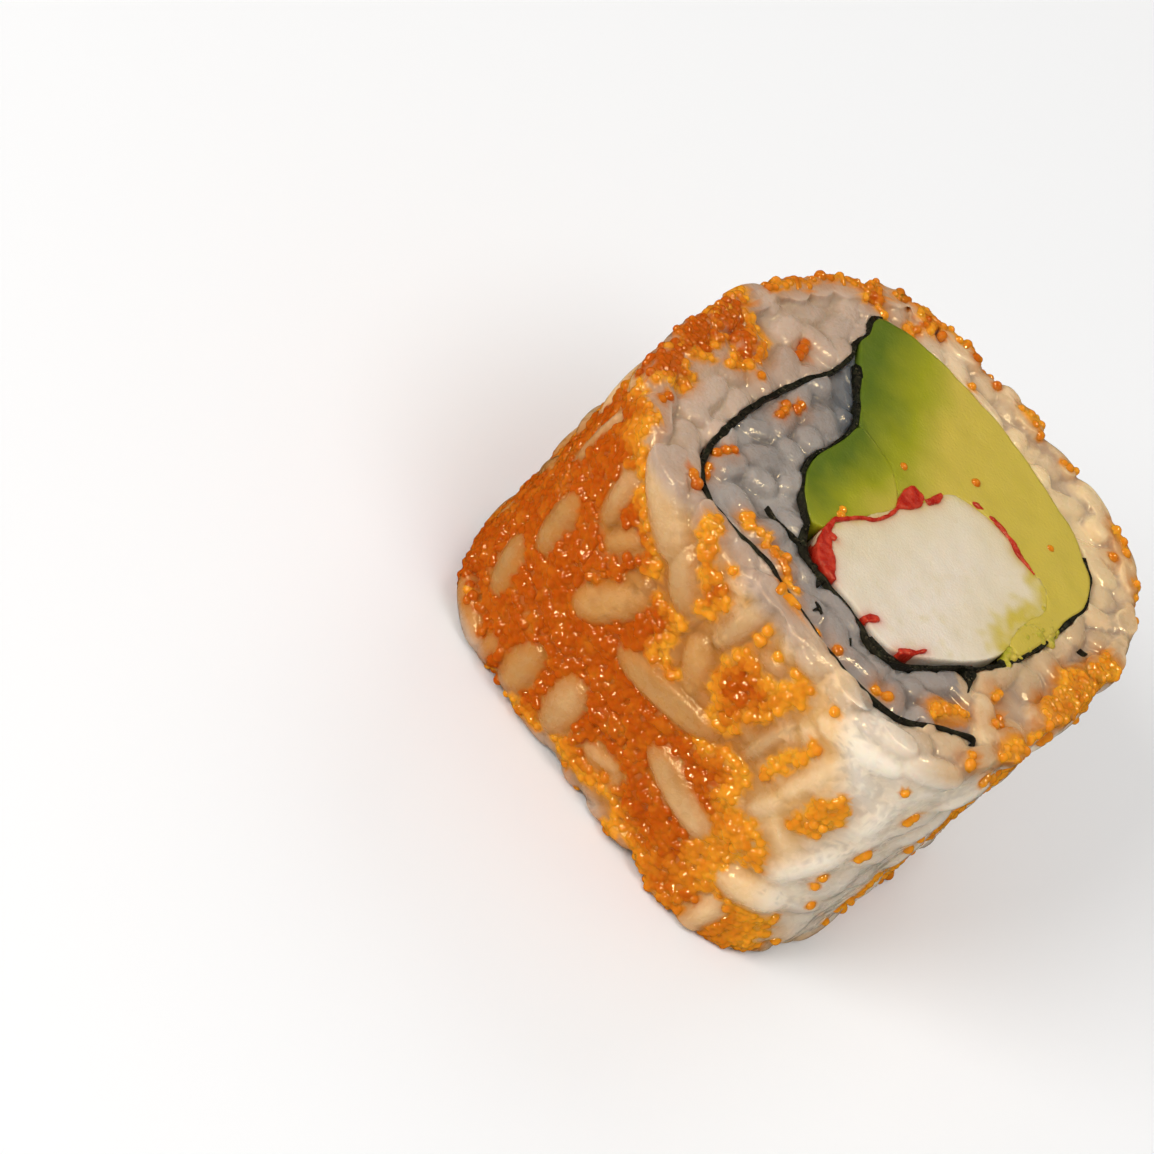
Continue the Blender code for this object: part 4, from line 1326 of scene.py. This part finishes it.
def make_roe(rng, beads, name):
    """Beads fused into one wet skin, in which each still stands out as a bump."""
    low, high = BOX_CORNERS
    places = []
    ripe = []
    for spot, normal, heaped, size in beads:
        radius = size * rng.uniform(*ROE_VARIES)
        lift = rng.uniform(*ROE_RISE) + ROE_EDGE_RISE * max(0, 1 - 2 * heaped)
        centre = spot / MM + normal * radius * lift
        centre = Vector(np.clip(centre, low + radius, high - radius))
        places.append(Matrix.Translation(centre) @ Matrix.Scale(radius, 4))
        ripe.append(heaped + rng.uniform(-HEAPED_VARIES, HEAPED_VARIES))
    tree = tree_of([place.translation for place in places])
    roe = joined_copies(name, bead_shape(), places)
    melt(roe, ROE_VOXEL, 0)
    thin_out(roe, ROE_FACES)
    points = read_points(roe)
    nearest = [tree.find(point)[1] for point in points]
    set_share(roe, "ripe", np.array(ripe)[nearest])
    outward = np.array([bead[1] for bead in beads])[nearest]
    hidden = (point_normals(roe) * outward).sum(axis=1) < ROE_TURNED_IN
    write_points(roe, np.clip(points - outward * hidden[:, None] * ROE_BEDDED, low, high))
    return roe


# ---- the filling and the sheet -----------------------------------------------------------------
def make_soft_solid(node, name, rounds, grow, uneven, size):
    """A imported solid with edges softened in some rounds, swollen, and with an uneven cut."""
    bm = bmesh.new()
    bm.from_mesh(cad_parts[node].data)
    bmesh.ops.remove_doubles(bm, verts=bm.verts, dist=0.001 * MM)
    thing = thing_from(name, bm)
    melt(thing, FILLING_VOXEL, rounds)
    swell(thing, grow, uneven, size)
    points = read_points(thing)
    waves = np.array([noise.noise(Vector(point) / size) for point in points]) * uneven
    top = ROLL_HEIGHT - FILLING_SUNK
    points[:, 2] = np.clip(points[:, 2], ROLL_HEIGHT - top + waves, top + waves)
    points[:, 2] = np.clip(points[:, 2], 0, ROLL_HEIGHT)
    write_points(thing, points)
    return thing


def tint_crab(crab, red_path, avocado):
    """Vertex shares for the crab stick's finish: blushed by its red skin and smeared by the avocado."""
    points = read_points(crab)
    gaps = np.min([
        np.hypot(points[:, 0] - x, points[:, 1] - y) - breadth / 2 for x, y, breadth in red_path], axis=0)
    most, reach = RED_BLUSH
    set_share(crab, "blush", np.exp(-np.clip(gaps, 0, None) / reach) * most)
    tree = tree_of(avocado)
    gaps = np.array([tree.find(point)[2] for point in points])
    corner = rise(points[:, 0], *SMEARED_CORNER)
    height, length = SMEAR_UNEVEN
    uneven = np.array([noise.noise(Vector(point) / length) for point in points])
    reach = SMEAR_REACH * (1 + SMEAR_WIDENS * corner)
    share = SMEAR_SHARES[0] + SMEAR_SHARES[1] * corner
    near = (np.clip(SMEAR_FULL - gaps / reach, 0, 1) + height * uneven) * share
    most, reach = FAINT_SMEAR
    set_share(crab, "smear", np.maximum(near, most * (1 - gaps / reach)))


def sheet_top(index):
    """The height of the sheet's upper edge at a step of its path."""
    height, pace = SHEET_WAVES
    wave = height * noise.noise(Vector((index * pace, 0, 0)))
    span = index / STEPS_PER_SPAN
    if HIDDEN_SPANS[0] < span < HIDDEN_SPANS[1]:
        wave -= HIDDEN_DEPTH
    return ROLL_HEIGHT - SHEET_SUNK + wave - OUTER_DEPTH * min(1, max(0, span - OUTER_SPANS_FROM))


def make_nori(sheet):
    bm = bmesh.new()
    # as broad as its dark edge, so the black sheet stands partly for shade beside it
    swollen = [Vector((*point.xy, point.z + SHEET_SWOLLEN)) for point in sheet]
    strip(bm, swollen, SHEET_FOOT, ROLL_HEIGHT)
    tree = tree_of([(point.x * MM, point.y * MM, 0) for point in sheet])
    for vert in bm.verts:
        if vert.co.z > ROLL_HEIGHT / 2 * MM:
            vert.co.z = sheet_top(tree.find((vert.co.x, vert.co.y, 0))[1]) * MM
    nori = thing_from("nori_sheet", bm)
    modify(nori, "BEVEL", width=SHEET_EDGE * MM, segments=2, limit_method="ANGLE", angle_limit=1.0)
    settle(nori).data.shade_smooth()
    return nori


def make_strips(name, strips, depth, top, voxel, grow):
    """Short thick strips let in from both cuts, fused and a little lumpy."""
    bm = bmesh.new()
    for points in strips:
        path = smooth_path(points, closed=False)
        strip(bm, path, top - depth, top)
        strip(bm, path, ROLL_HEIGHT - top, ROLL_HEIGHT - top + depth)
    thing = thing_from(name, bm)
    melt(thing, voxel, 2)
    swell(thing, grow, *LUMPS)
    for vert in thing.data.vertices:
        vert.co.z = max(0, min(ROLL_HEIGHT * MM, vert.co.z))
    return thing


def make_crumbs(rng):
    """Avocado mashed past the crab stick's corner."""
    places = []
    for x, y, reach in CRUMBS:
        for _ in range(int(CRUMBS_PER_REACH * reach)):
            plan = (x + rng.gauss(0, reach / 4), y + rng.gauss(0, reach / 3))
            spot = Vector((*plan, ROLL_HEIGHT - rng.uniform(*CRUMB_SUNK)))
            size = [rng.uniform(*CRUMB_SIZES) for _ in range(3)]
            long_axis = flat_axis(rng.uniform(0, math.pi))
            places.append(place_matrix(spot, long_axis, Vector((0, 0, 1)), size))
    crumbs = joined_copies("avocado_crumbs", grain_shape(*CRUMB_FACETS), places)
    melt(crumbs, CRUMB_VOXEL, 1)
    return crumbs


# ---- stage -------------------------------------------------------------------------------------
def make_camera():
    right, up, back = camera_axes()
    across = (CUT_MIDDLE_PIXEL[0] - PHOTO_SIZE / 2) / FOCAL_LENGTH
    down = (CUT_MIDDLE_PIXEL[1] - PHOTO_SIZE / 2) / FOCAL_LENGTH
    turn = Vector((across, -down, -1)).rotation_difference(Vector((0, 0, -1))).to_matrix()
    axes = Matrix((right, up, back)).transposed() @ turn
    data = bpy.data.cameras.new("Camera")
    data.sensor_width = SENSOR_WIDTH
    data.lens = FOCAL_LENGTH / PHOTO_SIZE * data.sensor_width
    data.clip_start, data.clip_end = CLIPPED
    camera = bpy.data.objects.new("Camera", data)
    camera.matrix_world = Matrix.Translation(EYE * MM) @ axes.to_4x4()
    bpy.context.scene.collection.objects.link(camera)
    bpy.context.scene.camera = camera


def add_lamp(name, azimuth, elevation, size, power, glints):
    """A round lamp aimed at the piece, which either lights it or only glints on it."""
    data = bpy.data.lights.new(name, "AREA")
    data.shape = "DISK"
    data.size = size
    data.energy = power
    data.color = GLINT_COLOUR if glints else SOFT_COLOUR
    light = bpy.data.objects.new(name, data)
    light.visible_glossy = glints
    light.visible_diffuse = not glints
    out = direction(azimuth, elevation)
    place = Vector((0, 0, ROLL_HEIGHT / 2 * MM)) + out * LAMP_DISTANCE
    light.matrix_world = Matrix.Translation(place) @ out.to_track_quat("Z", "Y").to_matrix().to_4x4()
    bpy.context.scene.collection.objects.link(light)


def make_stage():
    for lamp in SOFT_LAMPS:
        add_lamp(*lamp, glints=False)
    for lamp in GLINT_LAMPS:
        add_lamp(*lamp, glints=True)
    world = bpy.data.worlds.new("Studio")
    world.use_nodes = True
    sky = world.node_tree.nodes["Background"]
    sky.inputs["Color"].default_value = (*SOFT_COLOUR, 1)
    sky.inputs["Strength"].default_value = SKY_STRENGTH
    world.cycles_visibility.glossy = False
    bpy.context.scene.world = world
    bpy.context.scene.view_settings.view_transform = "Standard"
    bm = bmesh.new()
    bmesh.ops.create_grid(bm, x_segments=8, y_segments=8, size=FLOOR_REACH)
    floor = thing_from("floor", bm)
    floor.data.materials.append(floor_finish())
    floor.visible_glossy = False


# ---- assembly ----------------------------------------------------------------------------------
def put_on(thing, material, slot, *nodes):
    thing.data.materials.clear()
    thing.data.materials.append(material)
    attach(thing, "root")
    if nodes:
        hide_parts(*nodes)


def add_filling(sheet):
    large = make_soft_solid("avocado_large", "avocado_large_slice", *LARGE_SOFTENED)
    put_on(large, avocado_finish("Avocado large", *LARGE_RIPENS), "avocado", "avocado_large")
    small = make_soft_solid("avocado_small", "avocado_small_slice", *SMALL_SOFTENED)
    put_on(small, avocado_finish("Avocado small", *SMALL_RIPENS), "avocado", "avocado_small")
    crab = make_soft_solid("crab_stick", "crab_stick_meat", *CRAB_SOFTENED)
    red_path = [point for points in RED_STRIPS for point in smooth_path(points, closed=False)]
    tint_crab(crab, red_path, np.concatenate((read_points(large), read_points(small))))
    put_on(crab, crab_finish(), "crab_stick", "crab_stick")
    skin = make_strips("crab_stick_skin", RED_STRIPS, RED_DEPTH, ROLL_HEIGHT - RED_SUNK, RED_VOXEL, RED_GROWS)
    put_on(skin, crab_skin_finish(), "crab_stick")
    put_on(make_crumbs(random.Random(CRUMB_SEED)), crumb_finish(), "avocado")
    nori = nori_finish()
    put_on(make_nori(sheet), nori, "nori", "nori")
    top = ROLL_HEIGHT - SCRAPS_SUNK
    put_on(make_strips("nori_scraps", SHEET_SCRAPS, SCRAP_DEPTH, top, SCRAPS_VOXEL, 0), nori, "nori")


def filling_roe():
    """Single beads on the avocado and the crab stick."""
    top = ROLL_HEIGHT - FILLING_SUNK
    return [(Vector((x, y, top)) * MM, Vector((0, 0, 1)), LONE_ROE_HEAPED, LONE_ROE_RADIUS)
            for x, y in LONE_ROE]


def add_roe(rng, on_side, on_cuts):
    """The side's roe in three pieces, one above the other, and the cuts' in one."""
    roe = roe_finish()
    on_side.sort(key=lambda bead: bead[0].z / MM + SPLIT_WANDER * noise.noise(bead[0] / (SPLIT_LENGTH * MM)))
    third = len(on_side) // 3 + 1
    for index, name in enumerate(("roe_low", "roe_middle", "roe_high")):
        put_on(make_roe(rng, on_side[index * third:(index + 1) * third], name), roe, "roe")
    put_on(make_roe(rng, on_cuts, "roe_cuts"), roe, "roe")


def main():
    outline = Outline(grown(smooth_path(ROLL_OUTLINE, closed=True), -SIDE_INSET))
    sheet = crinkled(smooth_path(SHEET, closed=False))
    filling = sheet[:(TIP + CLOSING_SPANS) * STEPS_PER_SPAN + 1]
    inner_loop = sheet[TIP * STEPS_PER_SPAN:]
    rice, whole_grains = make_rice(outline, sheet, filling, inner_loop)
    tree = BVHTree.FromObject(rice, bpy.context.evaluated_depsgraph_get())
    rng = random.Random(ROE_SEED)
    on_side = side_roe(rng, outline, tree, whole_grains)
    on_cuts = cut_roe(rng, tree, 1) + cut_roe(rng, tree, -1) + filling_roe()
    tint_rice(rice, on_side + on_cuts, inner_loop)
    put_on(rice, rice_finish(), "rice", "rice")
    add_roe(rng, on_side, on_cuts)
    add_filling(sheet)
    make_camera()
    make_stage()


main()
